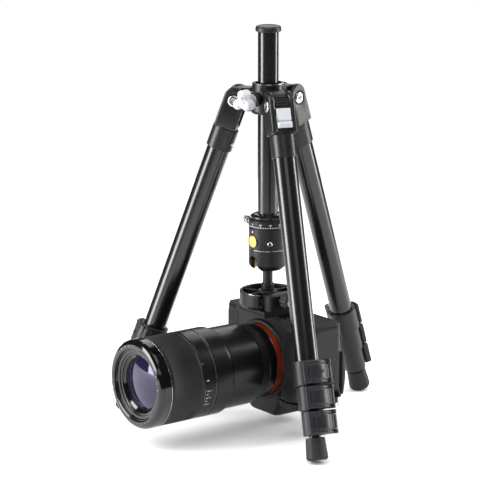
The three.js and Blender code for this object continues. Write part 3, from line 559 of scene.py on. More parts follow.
CAMERA_PAINT = finish_of("camera wrinkle paint", (0.0062, 0.0063, 0.0075), (0.05, 0.05, 0.055), 0.46, 0.12,
                         grain=3200, relief=0.00008, wear=0.3, dust=0.01, specular=0.25)
LENS_SATIN = finish_of("lens satin black", (0.004, 0.004, 0.005), (0.05, 0.05, 0.055), 0.26, 0.05,
                       grain=4800, relief=0.000001, wear=0.1, dust=0.01, coat=0.05, coat_rough=0.2,
                       specular=0.28)
LENS_GLOSS = finish_of("lens gloss black", (0.002, 0.002, 0.0026), (0.03, 0.03, 0.03), 0.1, 0.05,
                       grain=6000, relief=0.000002, wear=0.05, dust=0.0, coat=0.2, coat_rough=0.04,
                       specular=0.4)
LENS_BAFFLE = finish_of("lens baffle", (0.006, 0.006, 0.007), (0.03, 0.03, 0.03), 0.45, 0.1,
                        dust=0.0, specular=0.3)
FOCUS_RUBBER = finish_of("focus ring rubber", (0.008, 0.0082, 0.0095), (0.05, 0.05, 0.05), 0.4, 0.1,
                         grain=2600, relief=0.00003, wear=0.3, dust=0.01, specular=0.26)
SCREEN = finish_of("screen glass", (0.003, 0.003, 0.004), (0.02, 0.02, 0.02), 0.05, 0.05,
                   relief=0.000001, wear=0.0, dust=0.02, coat=0.6, coat_rough=0.02)
WHITE_MARK = finish_of("white marking", (0.75, 0.76, 0.78), (0.6, 0.6, 0.6), 0.5,
                       relief=0.00001, wear=0, dust=0)
ORANGE = finish_of("orange anodised ring", (0.6, 0.06, 0.01), (0.9, 0.3, 0.12), 0.26, 0.1, metal=0.6,
                   grain=5000, relief=0.000005, wear=0.3, dust=0.0)
YELLOW = finish_of("yellow disc", (0.83, 0.46, 0.1), (0.9, 0.7, 0.35), 0.45, 0.1, wear=0.2, dust=0.0)
RED = finish_of("red button", (0.45, 0.02, 0.03), (0.6, 0.1, 0.1), 0.35, 0.1, wear=0.2, dust=0.0)
STEEL = turned_metal("turned steel", (0.6, 0.58, 0.54), 0.24)
BRIGHT = turned_metal("bright edge", (0.8, 0.8, 0.82), 0.16)
LEATHER = leather_finish()
COATED = coated_glass()


# ------------------------------------------------------------------ legs

SECTIONS = 4
SECTION_RADII = {1: 10.0, 2: 8.5, 3: 7.0}  # of the tubes whose collars hide them from the extent
TUBE_WALL = 1.2
LEVER_PITCH = extent("leg_a_lever_1", LEGS["a"])[0][2] - extent("leg_a_lever_2", LEGS["a"])[0][2]
YOKE_SEAM = -26.0  # where the hinged yoke meets the sleeve that clamps the tube
LEVER_ARC = (-34, 66)  # degrees from outward towards +X: a lever's free edge, and its hinged end
MARK_ANGLE = 29  # of the round mark on the first lever


def lock_span(letter, i):
    """Top and bottom of lock i's collar, from its lever, which stands midway in it."""
    low, high = extent(f"leg_{letter}_lever_{i}", LEGS[letter])
    middle = (low[2] + high[2]) / 2
    return middle + LEVER_PITCH / 2 - 0.15, middle - LEVER_PITCH / 2 + 0.15


def tube_radius(letter, i):
    """Half the width of section i across the hinge axis, at its tube."""
    low, high = extent(f"leg_{letter}_section_{i}", LEGS[letter])
    return SECTION_RADII.get(i, (high[0] - low[0]) / 2)


def collar_radius(letter, i):
    """The radius of section i's collar, which is its widest part."""
    return -extent(f"leg_{letter}_section_{i}", LEGS[letter])[0][1]


def pin_of(letter, i):
    """The lever pin's place across the leg: its radius and its angle from outward towards +X."""
    where = np.array(JOINTS[f"leg_{letter}_lever_{i}_flip"]["pos_m"]) - LEGS[letter][:3, 3]
    x, y = (np.linalg.inv(LEGS[letter][:3, :3]) @ where)[:2]
    return np.hypot(x, y), np.arctan2(x, -y)


def around(angle, radius):
    """A point across the leg, at an angle from outward towards +X."""
    return radius * np.sin(angle), -radius * np.cos(angle)


def ear(side, high, half_depth, seat_radius, bolt_radius):
    """One ear of a yoke: a plate with a round top, the bolt's seat sunk in its outer face.
    The plate's outline and the seat's circle share angles about the hinge, so rings run between them."""
    top = high[2]
    centre = top - half_depth
    arc = np.linspace(0, np.pi, 40)
    crown = np.column_stack([half_depth * np.cos(arc), centre + half_depth * np.sin(arc)])
    foot_z = YOKE_SEAM + 0.4
    across, down = np.linspace(-half_depth, half_depth, 30), np.linspace(centre, foot_z, 30)
    border = np.concatenate([crown, np.column_stack([np.full(30, -half_depth), down]),
                             np.column_stack([across, np.full(30, foot_z)]),
                             np.column_stack([np.full(30, half_depth), np.linspace(foot_z, centre, 30)])])
    outline = polar(border, 120)
    outward = normals_of(outline)
    circle = outline / np.linalg.norm(outline, axis=1, keepdims=True)
    face, inner, floor = high[0], 7.0, high[0] - 1.6
    rounding = 1.8
    steps = [(outline, inner), (outline, face - rounding)]
    for k in np.linspace(0, np.pi / 2, 6)[1:]:
        steps.append((outline - outward * rounding * (1 - np.cos(k)), face - rounding * (1 - np.sin(k))))
    seat = [(0.6, face), (0.25, face - 0.1), (0.0, face - 0.5), (0.0, floor + 0.1), (-0.1, floor)]
    steps += [(circle * (seat_radius + grow), x) for grow, x in seat]
    steps += [(circle * bolt_radius, x) for x in (floor, inner)]
    rings = [np.column_stack([np.full(len(flat), x * side), flat]) for flat, x in steps]
    return skin(rings, loop=True)


def yoke_shapes(low, high):
    """Two ears over a root block, and the split sleeve that clamps the tube."""
    half_depth = 9.8
    sleeve_x, sleeve_y = 10.8, 11.5
    ears = [ear(side, high, half_depth, 5.9, 2.8) for side in (1, -1)]
    root = prism(rectangle(-high[0] + 0.1, high[0] - 0.1, -half_depth, half_depth, 9.2, 10),
                 YOKE_SEAM + 0.15, YOKE_SEAM + 5, 0.5, 1.2)
    angle = np.arange(96) / 96 * TAU
    power = 2 / 2.1
    oval = np.column_stack([sleeve_x * np.sign(np.cos(angle)) * np.abs(np.cos(angle)) ** power,
                            sleeve_y * np.sign(np.sin(angle)) * np.abs(np.sin(angle)) ** power])
    sleeve = prism(oval, low[2], YOKE_SEAM - 0.25, 1.2, 0.5)
    screw = moved(rotated(cylinder(1.9, 0, 1.4, 0.3, 24), "X", -90), 5.5, sleeve_y - 1.2, low[2] + 8)
    return ears, root, sleeve, screw


def bolt_shapes(low, high):
    """Button heads with a hexagon socket at each end of the hinge bolt."""
    sides = 72
    angle = (np.arange(sides) + 0.5) / sides * TAU
    hexagon = 2.0 / np.cos((angle + TAU / 12) % (TAU / 6) - TAU / 12)
    dome = [(5.2, -2.2), (5.2, -0.9), (4.95, -0.45), (4.3, -0.12), (3.5, 0.0), (2.9, 0.0)]
    socket = [(1.1 * hexagon, -0.02), (1.0 * hexagon, -0.2), (1.0 * hexagon, -1.7)]
    shapes = []
    for side, tip in ((1, high[0]), (-1, -low[0])):
        rings = [np.column_stack([np.full(sides, (tip + rise) * side), r * np.cos(angle), r * np.sin(angle)])
                 for r, rise in dome + socket]
        shapes.append(skin(rings))
    return shapes


def tab_shapes(low, high):
    """The angle tab: a plate that leans out into a pull lip at its lower end, ribbed on the lip."""
    profile = [(high[1], high[2]), (high[1], low[2]), (low[1], low[2]), (low[1], low[2] + 4.4),
               (low[1] + 0.6, low[2] + 5.0), (low[1] + 2.3, low[2] + 5.2), (low[1] + 2.3, low[2] + 6.0),
               (low[1] + 1.4, low[2] + 6.6), (low[1] + 1.6, high[2])]
    outline = soften(profile, (0.4, 0.3, 0.9, 0.6, 0.2, 0.2, 0.2, 0.5, 0.5), closed=True)[::-1]
    body = prism(np.column_stack([outline[:, 0], outline[:, 1]]), low[0], high[0], 0.6)
    upright = body[0][:, [2, 0, 1]], body[1]
    rib = rotated(cylinder(0.28, -5.2, 5.2, 0.1, 10), "Y", 90)
    return [upright] + [moved(rib, 0, low[1] - 0.02, low[2] + z) for z in (0.9, 1.7, 2.5)]


def foot_shape(low_z, high_z, bottom_r, top_r):
    """A flared rubber foot: the radius runs from neck to base, with eight soft flats and a domed sole."""
    height = high_z - low_z
    profile = soften([(0.5, low_z), (bottom_r - 1.6, low_z), (bottom_r, low_z + 2.0),
                      (bottom_r - 0.35, low_z + 0.45 * height), (top_r, high_z), (5.9, high_z)], 1.1)

    def flats(angle, z):
        return -0.32 * np.abs(np.sin(4 * angle)) * np.clip((z - low_z) / 4, 0, 1)

    return turned(profile, 96, wave=flats)


def lever_plate(middle, inner, outer, half_height, start, stop):
    """A lever's panel over its collar. The face is a grid of angle and height. Its relief is a raised
    frame along the free edge and a groove that runs round a trapezoid, open towards the hinge."""
    rows, columns = 90, 64
    angle = np.linspace(start, stop, rows)[:, None]
    height = np.linspace(-half_height, half_height, columns)[None]
    across = (angle - start) * outer  # millimetres along the face from the free edge
    length = (stop - start) * outer
    depth_in = np.minimum(half_height - np.abs(height), np.minimum(across, length - across + 2))
    rounding = 1.3 - np.sqrt(np.clip(1.3 ** 2 - np.clip(1.3 - depth_in, 0, None) ** 2, 0, None))
    slant = np.clip((across - 5.0) / (length - 5.0), 0, 1)
    edge_line = half_height * (0.56 + 0.24 * slant)
    to_side = np.abs(np.abs(height) - edge_line) + 10 * np.clip(5.0 - across, 0, None)
    to_end = np.abs(across - 5.0) + 10 * np.clip(np.abs(height) - half_height * 0.56, 0, None)
    groove = 0.75 * np.exp(-(np.minimum(to_side, to_end) / 0.42) ** 2)
    inside = (np.abs(height) < edge_line) & (across > 5.0)
    frame_lift = 0.45 / (1 + np.exp((across - 10.5) / 0.25)) * ~inside
    radius = outer - rounding - groove + frame_lift - 0.5
    sine, cosine = np.sin(angle), -np.cos(angle)
    full = np.ones_like(height)
    face = np.stack([radius * sine, radius * cosine, middle + height * np.ones_like(angle)], -1)
    back = np.stack([inner * sine * full, inner * cosine * full, middle + height * np.ones_like(angle)], -1)
    return plate(face, back)


def lever_shapes(letter, i):
    """The lever: its panel, the web to its barrel, the barrel, and on the first lever a round mark."""
    low, high = extent(f"leg_{letter}_lever_{i}", LEGS[letter])
    middle = (low[2] + high[2]) / 2
    half = (high[2] - low[2]) / 2
    reach, pin_angle = pin_of(letter, i)
    start, stop = np.radians(LEVER_ARC)
    outer = collar_radius(letter, 1) + 4.1
    inner = collar_radius(letter, i) + 0.7
    panel = lever_plate(middle, inner, outer, half - 0.1, start, stop)
    barrel_r, barrel_half = 3.4, 6.1
    pin_x, pin_y = around(pin_angle, reach)
    barrel = moved(cylinder(barrel_r, -barrel_half, barrel_half, 0.5, 32), pin_x, pin_y, middle)
    corners = [around(stop - 0.1, outer - 0.6), around(stop - 0.1, outer - 2.9),
               around(pin_angle - 0.02, reach - 3.0), around(pin_angle, reach + 2.9)]
    web = prism(np.array(corners)[::-1], middle - barrel_half, middle + barrel_half, 0.3)
    shapes = [(panel, MOULDED_FRAME), (barrel, MOULDED), (web, MOULDED)]
    if i == 1:
        disc = moved(facing(washer(1.25, 1.95, 0, 0.5, 0.2, 32)), 0, -outer + 0.5, middle)
        dot = moved(facing(cylinder(0.55, 0, 0.5, 0.2, 20)), 0, -outer + 0.5, middle)
        shapes += [(rotated(mark, "Z", MARK_ANGLE), MOULDED) for mark in (disc, dot)]
    return shapes


def collar_shapes(letter, i):
    """The lock's collar: a ring with a chamfered mouth, a clamping split drawn as a strip of painted shade,
    and two ears for the pin.
    """
    top, bottom = lock_span(letter, i)
    radius = collar_radius(letter, i)
    bore = tube_radius(letter, i + 1) + 0.3
    upper = tube_radius(letter, i) + 0.02
    collar = ring([(bore, bottom), (radius, bottom), (radius, top), (upper, top), (upper, top - 4),
                   (bore, top - 5)], (0.4, 0.7, 0.9, 0.3, 0.1, 0.1), 96, steps=3)
    reach, pin_angle = pin_of(letter, i)
    pin_x, pin_y = around(pin_angle, reach)
    ears = []
    for z0, z1 in ((top - 4.2, top - 0.4), (bottom + 0.4, bottom + 4.2)):
        outline = rectangle(-3.5, 3.5, -3.5, reach - radius + 1.5, (3.3, 3.3, 0.3, 0.3), 5)
        ears.append(moved(rotated(prism(outline, z0, z1, 0.4), "Z", np.degrees(pin_angle)), pin_x, pin_y))
    pin = moved(cylinder(1.1, bottom + 0.35, top - 0.35, 0.15, 20), pin_x, pin_y)
    # painted shade: a near-black strip laid over the whole collar where the clamping split's gap would be
    split = prism(rectangle(-0.45, 0.45, -radius - 0.06, -radius + 1, 0.1), bottom + 1, top - 1, 0.1)
    split = rotated(split, "Z", LEVER_ARC[0])
    return [(collar, MOULDED), (pin, STEEL), (split, NEAR_BLACK_AND_PAINTED_SHADE)] + [(shape, MOULDED) for shape in ears]


def tube(radius, low, high):
    """A drawn tube with a wall, its rims rounded."""
    inner = radius - TUBE_WALL
    return ring([(inner, low), (radius, low), (radius, high), (inner, high)], 0.25, 96, steps=2)


def build_leg(letter):
    """One leg: yoke, hinge bolt, angle tab, four sections with three locks and levers, and the foot."""
    place = LEGS[letter]
    body = f"leg_{letter}"

    def node(what):
        return f"{body}_{what}"

    low, high = extent(node("yoke"), place)
    ears, root, sleeve, screw = yoke_shapes(low, high)
    piece(node("yoke_look"), body, place,
          [(shape, CAST) for shape in ears] + [(root, CAST), (sleeve, CAST), (screw, STEEL)],
          [node("yoke")])
    piece(node("hinge_bolt_look"), body, place,
          [(shape, STEEL) for shape in bolt_shapes(*extent(node("hinge_bolt"), place))],
          [node("hinge_bolt")])
    piece(node("angle_tab_look"), node("tab"), place,
          [(shape, LIGHT_PLASTIC) for shape in tab_shapes(*extent(node("angle_tab"), place))],
          [node("angle_tab")])
    bodies = [body, node("stage_2"), node("stage_3"), node("stage_4")]
    for i in range(1, SECTIONS):
        high = extent(node(f"section_{i}"), place)[1]
        top = lock_span(letter, i)[0]
        parts = [(tube(tube_radius(letter, i), top - 6, high[2]), ANODISED)] + collar_shapes(letter, i)
        piece(node(f"section_{i}_look"), bodies[i - 1], place, parts, [node(f"section_{i}")])
        piece(node(f"lever_{i}_look"), node(f"lever_{i}"), place, lever_shapes(letter, i),
              [node(f"lever_{i}")])
    low, high = extent(node("section_4"), place)
    piece(node("section_4_look"), bodies[3], place,
          [(tube(tube_radius(letter, 4), low[2], high[2]), ANODISED)], [node("section_4")])
    low = extent(node("foot"), place)[0]
    lip = lock_span(letter, SECTIONS - 1)[1]
    foot_top = min(lip - 1.2, low[2] + 19.3)
    piece(node("foot_look"), bodies[3], place, [(foot_shape(low[2], foot_top, 9.7, 8.6), RUBBER)],
          [node("foot")])


for letter in "abc":
    build_leg(letter)


# ------------------------------------------------------------------ spider and column

def azimuth_of(direction):
    """Degrees from -Y towards +X."""
    return np.degrees(np.arctan2(direction[0], -direction[1]))


def arm_shapes(reach):
    """One arm of the spider along -Y: a side profile with a round end under the hinge, run across,
    with ridges on the round end and a hub gusset that widens towards the column."""
    lug_r, top, half = 9.2, 11.4, 6.5
    arc = np.linspace(-np.pi / 2, np.pi / 3, 24)
    end = np.column_stack([reach + lug_r * np.cos(arc), lug_r * np.sin(arc)])
    side = np.concatenate([[(11.6, -lug_r)], end, [(reach - 1.0, top), (11.6, top)]])
    flat = prism(side, -half, half, 0.9)
    arm = np.column_stack([flat[0][:, 2], -flat[0][:, 0], flat[0][:, 1]]), flat[1]
    ridge = rotated(cylinder(0.95, -half + 0.5, half - 0.5, 0.3, 16), "Y", 90)
    ridges = [moved(ridge, 0, -reach - (lug_r - 0.05) * np.cos(a), (lug_r - 0.05) * np.sin(a))
              for a in np.radians((-14, 1, 16, 31, 46, 61))]
    gusset = prism(np.array([(-10.5, 0), (-half, -19.5), (half, -19.5), (10.5, 0)]), -7.5, 9.2, 1.6, 2.4)
    return [arm, gusset] + ridges


def build_spider():
    """The hub: a collar round the column, three arms, the boss of the lock knob, and the plastic bush."""
    hinges = [np.array(JOINTS[f"leg_{letter}_spread"]["pos_m"]) - AXIS for letter in "abc"]
    azimuths = [azimuth_of(hinge) for hinge in hinges]
    reach = np.hypot(hinges[0][0], hinges[0][1]) / MM
    bore = extent("column_bush", HUB)[1][0] + 0.2
    collar = ring([(bore, -10.9), (14.0, -10.9), (15.6, -8.4), (15.6, 5.6), (14.0, 9.6), (14.0, 15.9),
                   (bore, 15.9)], (0.3, 0.8, 1.2, 1.2, 1.0, 1.1, 0.4), 120)
    parts = [(collar, CAST)]
    for azimuth in azimuths:
        parts += [(rotated(shape, "Z", azimuth), CAST) for shape in arm_shapes(reach)]
    knob = azimuth_of(JOINTS["column_lock_turn"]["axis"])
    knob_z = (JOINTS["column_lock_turn"]["pos_m"][2] - HINGE_Z) / MM
    boss = ring([(3.0, 12), (6.4, 12), (6.4, 19.2), (5.2, 20.3), (3.0, 20.3)], (0, 0, 0.5, 0.4, 0), 64)
    parts.append((moved(facing(boss, knob), 0, 0, knob_z), CAST))
    for azimuth in (azimuths[1] + 52, azimuths[2] - 40):
        slit = prism(rectangle(-0.5, 0.5, -14.12, -12.5, 0.1), 9.8, 15.2, 0.1)
        parts.append((rotated(slit, "Z", azimuth), BRIGHT))
    rim = ring([(13.2, 15.86), (13.75, 15.5), (13.85, 15.62), (13.25, 15.99)], 0.05, 120, steps=1)
    parts.append((rim, BRIGHT))
    piece("spider_look", "spider", HUB, parts, ["spider"])
    low, high = extent("column_bush", HUB)
    bush = ring([(9.25, low[2]), (high[0], low[2]), (high[0], high[2]), (9.9, high[2]),
                 (9.25, high[2] - 0.8)], 0.25, 96)
    piece("column_bush_look", "spider", HUB, [(bush, MOULDED)], ["column_bush"])


def build_column():
    """The column's tube with the flange that carries the head, and the cap on its upper end."""
    low, high = extent("centre_column", HUB)
    radius, wall, flange = 9.0, 1.5, high[0]
    bore = radius - wall
    column = ring([(bore, low[2]), (flange, low[2]), (flange, low[2] + 1.6), (12.6, low[2] + 3.2),
                   (radius, low[2] + 4.0), (radius, high[2]), (bore, high[2])],
                  (0.3, 0.4, 0.5, 1.0, 1.2, 0.3, 0.3), 128)
    piece("centre_column_look", "column", HUB, [(column, ANODISED)], ["centre_column"])
    low, high = extent("column_cap", HUB)
    top, rim = high[2], high[0]
    cap = rod([(CORE, low[2]), (7.1, low[2]), (7.1, top - 4.8), (rim - 0.3, top - 4.8), (rim, top - 4.2),
               (rim, top - 1.6), (rim - 0.9, top - 0.2), (rim - 1.8, top), (8.2, top), (7.8, top - 0.35),
               (CORE, top - 0.35)], (0, 0.3, 0.2, 0.3, 0.4, 0.6, 0.5, 0.3, 0.2, 0.2, 0), 96)
    piece("column_cap_look", "column", HUB, [(cap, MOULDED)], ["column_cap"])


def trefoil(count=144):
    """A three-lobed outline: the radius is a mean plus a wave of three and a touch of six, one lobe up."""
    angle = np.arange(count) / count * TAU
    radius = 7.75 + 2.65 * np.cos(3 * (angle - np.pi / 2)) - 0.3 * np.cos(6 * (angle - np.pi / 2))
    return np.column_stack([radius * np.cos(angle), radius * np.sin(angle)])


def build_column_knob():
    """The three-lobed lock knob on its neck and stud, built along +Z from the boss outward."""
    low_z = 20.7
    back, front = low_z + 6.0, low_z + 17.0
    outline = trefoil()
    inward = -normals_of(outline)
    rings = []
    for inset, z in soften([(2.0, back), (0.3, back), (0, back + 1.4), (0, front - 2.2), (2.2, front)],
                           (0, 0.5, 1.0, 1.8, 0), steps=5):
        rings.append(np.column_stack([outline + inward * inset, np.full(len(outline), z)]))
    for share, z in ((0.62, front + 0.02), (0.5, front - 0.05), (0.46, front - 0.5), (0.02, front - 0.6)):
        rings.append(np.column_stack([outline * share * 0.8, np.full(len(outline), z)]))
    head = skin(rings)
    neck = rod([(CORE, low_z), (5.0, low_z), (5.0, low_z + 1.4), (6.3, back + 0.3), (CORE, back + 0.3)],
               (0, 0.4, 0.8, 0.4, 0), 64)
    stud = cylinder(2.4, 11.3, low_z + 0.5, 0.2, 32)
    joint = JOINTS["column_lock_turn"]
    azimuth = azimuth_of(joint["axis"])
    z = (joint["pos_m"][2] - HINGE_Z) / MM
    parts = [(moved(facing(shape, azimuth), 0, 0, z), look)
             for shape, look in ((head, LIGHT_PLASTIC), (neck, GREY_PLASTIC), (stud, STEEL))]
    piece("column_lock_knob_look", "column_knob", HUB, parts, ["column_lock_knob"])


# ------------------------------------------------------------------ ball head

FIGURE_SIZE = 2.2
DISC_Z = 12.4  # of the level disc's middle on the housing
SCREW_Z = 11.4
SCREW_AZIMUTH = 59


def wrapped(shape, radius, angle, z):
    """A flat shape in XY, with its thickness along Z, laid on a cylinder: x runs round it, y up it."""
    points, faces = shape
    turn = angle + points[:, 0] / radius
    out = radius + points[:, 2]
    return np.column_stack([out * np.sin(turn), -out * np.cos(turn), z + points[:, 1]]), faces


def figures(text, size, depth=0.06):
    """Numbers as a thin solid in XY, from the built-in font, centred, upside down as the head hangs."""
    curve = bpy.data.curves.new("figures", "FONT")
    curve.body = text
    curve.size = size
    curve.extrude = depth
    curve.align_x, curve.align_y = "CENTER", "CENTER"
    thing = bpy.data.objects.new("figures", curve)
    mesh = bpy.data.meshes.new_from_object(thing)
    points = np.array([vertex.co for vertex in mesh.vertices]) * (-1, -1, 1)
    faces = [list(face.vertices) for face in mesh.polygons]
    bpy.data.objects.remove(thing)
    bpy.data.curves.remove(curve)
    bpy.data.meshes.remove(mesh)
    return points, faces


def tick(width, height):
    """A thin upright mark in XY."""
    outline = rectangle(-width / 2, width / 2, -height / 2, height / 2, 0.02, 1)
    return prism(outline, -0.2, 0.05, 0.01, steps=1)


def build_pan_base():
    """The pan dial with its chamfered rim, its ticks every 5 degrees and its figures every 30."""
    low, high = extent("pan_base", BALL)
    radius, top = high[0], high[2]
    bottom = extent("ball_housing", BALL)[1][2] + 0.3
    dial = rod([(CORE, low[2]), (7.9, low[2]), (7.9, bottom), (radius - 0.4, bottom), (radius, bottom + 0.4),
                (radius, top - 2.2), (radius - 0.4, top - 1.9), (radius - 0.6, top - 1.3),
                (radius - 2.4, top), (CORE, top)], (0, 0.3, 0.2, 0.2, 0.3, 0.15, 0.1, 0.3, 0.5, 0), 128)
    parts = [(dial, HEAD_BLACK)]
    for degrees in range(0, 360, 5):
        tall = 1.7 if degrees % 30 == 0 else 1.0
        mark = wrapped(tick(0.42, tall), radius, np.radians(degrees), bottom + 0.6 + tall / 2)
        parts.append((mark, WHITE_MARK))
    for degrees in range(0, 360, 30):
        label = figures(str(min(degrees, 360 - degrees)), FIGURE_SIZE)
        parts.append((wrapped(label, radius, np.radians(-degrees), bottom + 3.6), WHITE_MARK))
    piece("pan_base_look", "column", BALL, parts, ["pan_base"])


def slotted_shell(outer, inner, half_slot, slot_top, columns=150):
    """A turned wall with one slot towards -Y, open at the bottom and round at its top. Outer and inner
    are profiles of (radius, z) with as many points; at each point the wall runs round from one edge of
    the slot to the other, the edges lying half_slot from the YZ plane, less where the slot rounds off."""
    def grid(profile):
        radius, z = profile.T
        half = np.where(z < slot_top - half_slot, half_slot,
                        np.sqrt(np.clip(half_slot ** 2 - (z - slot_top + half_slot) ** 2, 0, None)))
        start = np.arcsin(np.clip(half / radius, 0, 1))
        share = np.linspace(0, 1, columns)[None]
        angle = start[:, None] + (TAU - 2 * start[:, None]) * share
        return np.stack([radius[:, None] * np.sin(angle), -radius[:, None] * np.cos(angle),
                         np.repeat(z[:, None], columns, 1)], -1)
    return plate(grid(outer), grid(inner))


def along(profile, count):
    """A polyline sampled evenly by length."""
    steps = np.concatenate([[0], np.cumsum(np.linalg.norm(np.diff(profile, axis=0), axis=1))])
    at = np.linspace(0, steps[-1], count)
    return np.column_stack([np.interp(at, steps, profile[:, 0]), np.interp(at, steps, profile[:, 1])])


def build_housing():
    """The ball's housing: a slotted lower shell with its liner, a plain upper band, the level disc, a
    screw and the index triangle."""
    low, high = extent("ball_housing", BALL)
    radius, bottom, top = high[0], low[2], high[2]
    seam, ball_r = 4.6, extent("ball", BALL)[1][0] + 0.35
    outer = along(soften([(11.7, bottom), (radius - 4.6, bottom), (radius - 1.1, bottom + 3.2),
                          (radius, bottom + 5.2), (radius, seam - 0.5), (radius - 0.5, seam)],
                         (0, 1.4, 2.4, 2.4, 0.4, 0), steps=6), 90)
    inner_z = np.linspace(bottom + 0.02, seam - 0.02, 90)
    inner_r = np.where(inner_z < -5.4, 11.6, np.sqrt(np.clip(ball_r ** 2 - inner_z ** 2, 0, None)))
    lower = slotted_shell(outer, np.column_stack([inner_r, inner_z]), 5.5, -0.6)
    bore = 8.4
    upper = ring([(bore, seam + 0.3), (radius - 0.5, seam + 0.3), (radius, seam + 0.8),
                  (radius, top - 0.5), (radius - 0.4, top), (bore, top)],
                 (0.2, 0.2, 0.3, 0.3, 0.2, 0.2), 128)
    line = ring([(radius - 1.2, seam - 0.2), (radius - 0.18, seam + 0.05), (radius - 0.18, seam + 0.3),
                 (radius - 1.2, seam + 0.4)], 0.05, 128, steps=1)
    liner = slotted_shell(np.array([(11.58, bottom + 1.0), (11.58, -5.3)]),
                          np.array([(11.2, bottom + 1.0), (11.2, -5.3)]), 5.3, 99, 100)
    disc = rod([(CORE, 0), (5.3, 0), (5.3, 0.9), (4.2, 1.25), (CORE, 1.35)], (0, 0.1, 0.3, 1.5, 0), 64)
    border = washer(5.3, 5.75, 0, 1.25, 0.15, 64)
    disc, border = [moved(facing(shape, 1), 0, -(radius - 1.0), DISC_Z) for shape in (disc, border)]
    screw = rod([(CORE, 0.35), (1.05, 0.35), (1.25, 1.1), (1.9, 1.2), (2.25, 0.9), (2.25, 0), (CORE, 0)],
                (0, 0.05, 0.1, 0.2, 0.2, 0, 0), 32)
    # painted shade: a near-black disc fills the middle of the screw's head where its socket would be
    recess = cylinder(1.05, 0, 0.45, 0.05, 24)
    screw_x, screw_y = around(np.radians(SCREW_AZIMUTH), radius - 0.8)
    screw, recess = [moved(facing(shape, SCREW_AZIMUTH), screw_x, screw_y, SCREW_Z)
                     for shape in (screw, recess)]
    triangle = prism([(-0.75, -1.1), (0.75, -1.1), (0.0, 1.1)], -0.2, 0.05, 0.02, steps=1)
    index = wrapped(triangle, radius, 0.0, top - 2.8)
    parts = [(lower, HEAD_BLACK), (upper, HEAD_BLACK), (line, BRIGHT), (liner, YELLOW), (disc, YELLOW),
             (border, HEAD_BLACK), (screw, BRIGHT), (recess, NEAR_BLACK_AND_PAINTED_SHADE), (index, WHITE_MARK)]
    piece("ball_housing_look", "head", BALL, parts, ["ball_housing"])


def grip_knob(radius, low, high, flutes, depth=0.7):
    """A knob along Z: a round whose radius dips in even flutes, with a dished end."""
    def wave(angle, z):
        shape = np.clip(np.cos(flutes * angle), 0, 1) ** 2
        return -depth * shape * np.clip((z - low - 0.2) / 1.2, 0, 1) * np.clip((high - 0.2 - z) / 1.2, 0, 1)

    return rod([(CORE, low), (radius - 1.6, low), (radius, low + 1.4), (radius, high - 1.4),
                (radius - 1.6, high), (radius - 2.6, high), (radius - 3.0, high - 0.5), (CORE, high - 0.5)],
               (0, 0.5, 0.8, 0.8, 0.5, 0.2, 0.2, 0), flutes * 16, wave=wave)


def build_head_knobs():
    """The fluted ball lock knob, and the small knurled pan lock knob."""
    low, high = extent("ball_lock_knob", BALL)
    middle_z = (low[2] + high[2]) / 2
    radius = (high[2] - low[2]) / 2
    tip = high[1]
    body = grip_knob(radius, tip - 15, tip, 10)
    stud = cylinder(4.6, 17.1, tip - 14.6, 0.2, 48)
    cap = rod([(CORE, tip - 0.7), (4.4, tip - 0.7), (4.4, tip - 0.25), (CORE, tip - 0.1)], (0, 0, 0.2, 0), 48)
    piece("ball_lock_knob_look", "ball_knob", BALL,
          [(moved(rotated(shape, "X", -90), 0, 0, middle_z), look)
           for shape, look in ((body, RUBBER), (stud, STEEL), (cap, MOULDED_FRAME))],
          ["ball_lock_knob"])
    azimuth = azimuth_of(JOINTS["pan_lock_turn"]["axis"])
    z = (JOINTS["pan_lock_turn"]["pos_m"][2] - BALL[2, 3]) / MM
    start = extent("pan_base", BALL)[1][0] + 0.3
    knurl = rod([(CORE, start), (2.4, start), (2.4, start + 0.9), (3.55, start + 1.1), (3.55, start + 5.0),
                 (3.0, start + 5.4), (CORE, start + 5.4)], (0, 0.1, 0.1, 0.2, 0.3, 0.3, 0), 160,
                wave=ribbing(40, 0.09, start + 1.2, start + 5.0))
    piece("pan_lock_knob_look", "pan_knob", BALL, [(moved(facing(knurl, azimuth), 0, 0, z), BRIGHT)],
          ["pan_lock_knob"])


def build_ball():
    """The ball, and the stem that carries the clamp."""
    radius = extent("ball", BALL)[1][0] - 0.05
    turn = np.linspace(-np.pi / 2 + 0.02, np.pi / 2 - 0.02, 48)
    ball = turned(np.column_stack([radius * np.cos(turn), radius * np.sin(turn)]), 96)
    piece("ball_look", "ball", BALL, [(ball, STEEL)], ["ball"])
    low, high = extent("ball_stem", BALL)
    collar = high[0] - 0.02
    neck = 4.45
    stem = rod([(CORE, low[2]), (collar, low[2]), (collar, low[2] + 5.2), (neck, low[2] + 6.2),
                (neck, high[2] - 1.0), (neck - 0.6, high[2]), (CORE, high[2])],
               (0, 0.3, 0.4, 0.8, 0.4, 0.3, 0), 72)
    piece("ball_stem_look", "clamp", BALL, [(stem, HEAD_BLACK)], ["ball_stem"])


# ------------------------------------------------------------------ clamp and plate

def cut_round(radius, x_limit, count):
    """Points on the part of a circle left of the line x = x_limit, from its upper corner round to its
    lower one."""
    start = np.arccos(np.clip(x_limit / radius, -1, 1))
    angle = np.linspace(start, TAU - start, count)
    return np.column_stack([radius * np.cos(angle), radius * np.sin(angle)])


def cut_wall(profile_out, profile_in, x_limit, columns=120):
    """A round wall between two profiles of (radius, z), cut off square at x = x_limit."""
    def grid(profile):
        return np.array([np.column_stack([cut_round(radius, x_limit, columns), np.full(columns, z)])
                         for radius, z in profile])
    return plate(grid(profile_out), grid(profile_in))


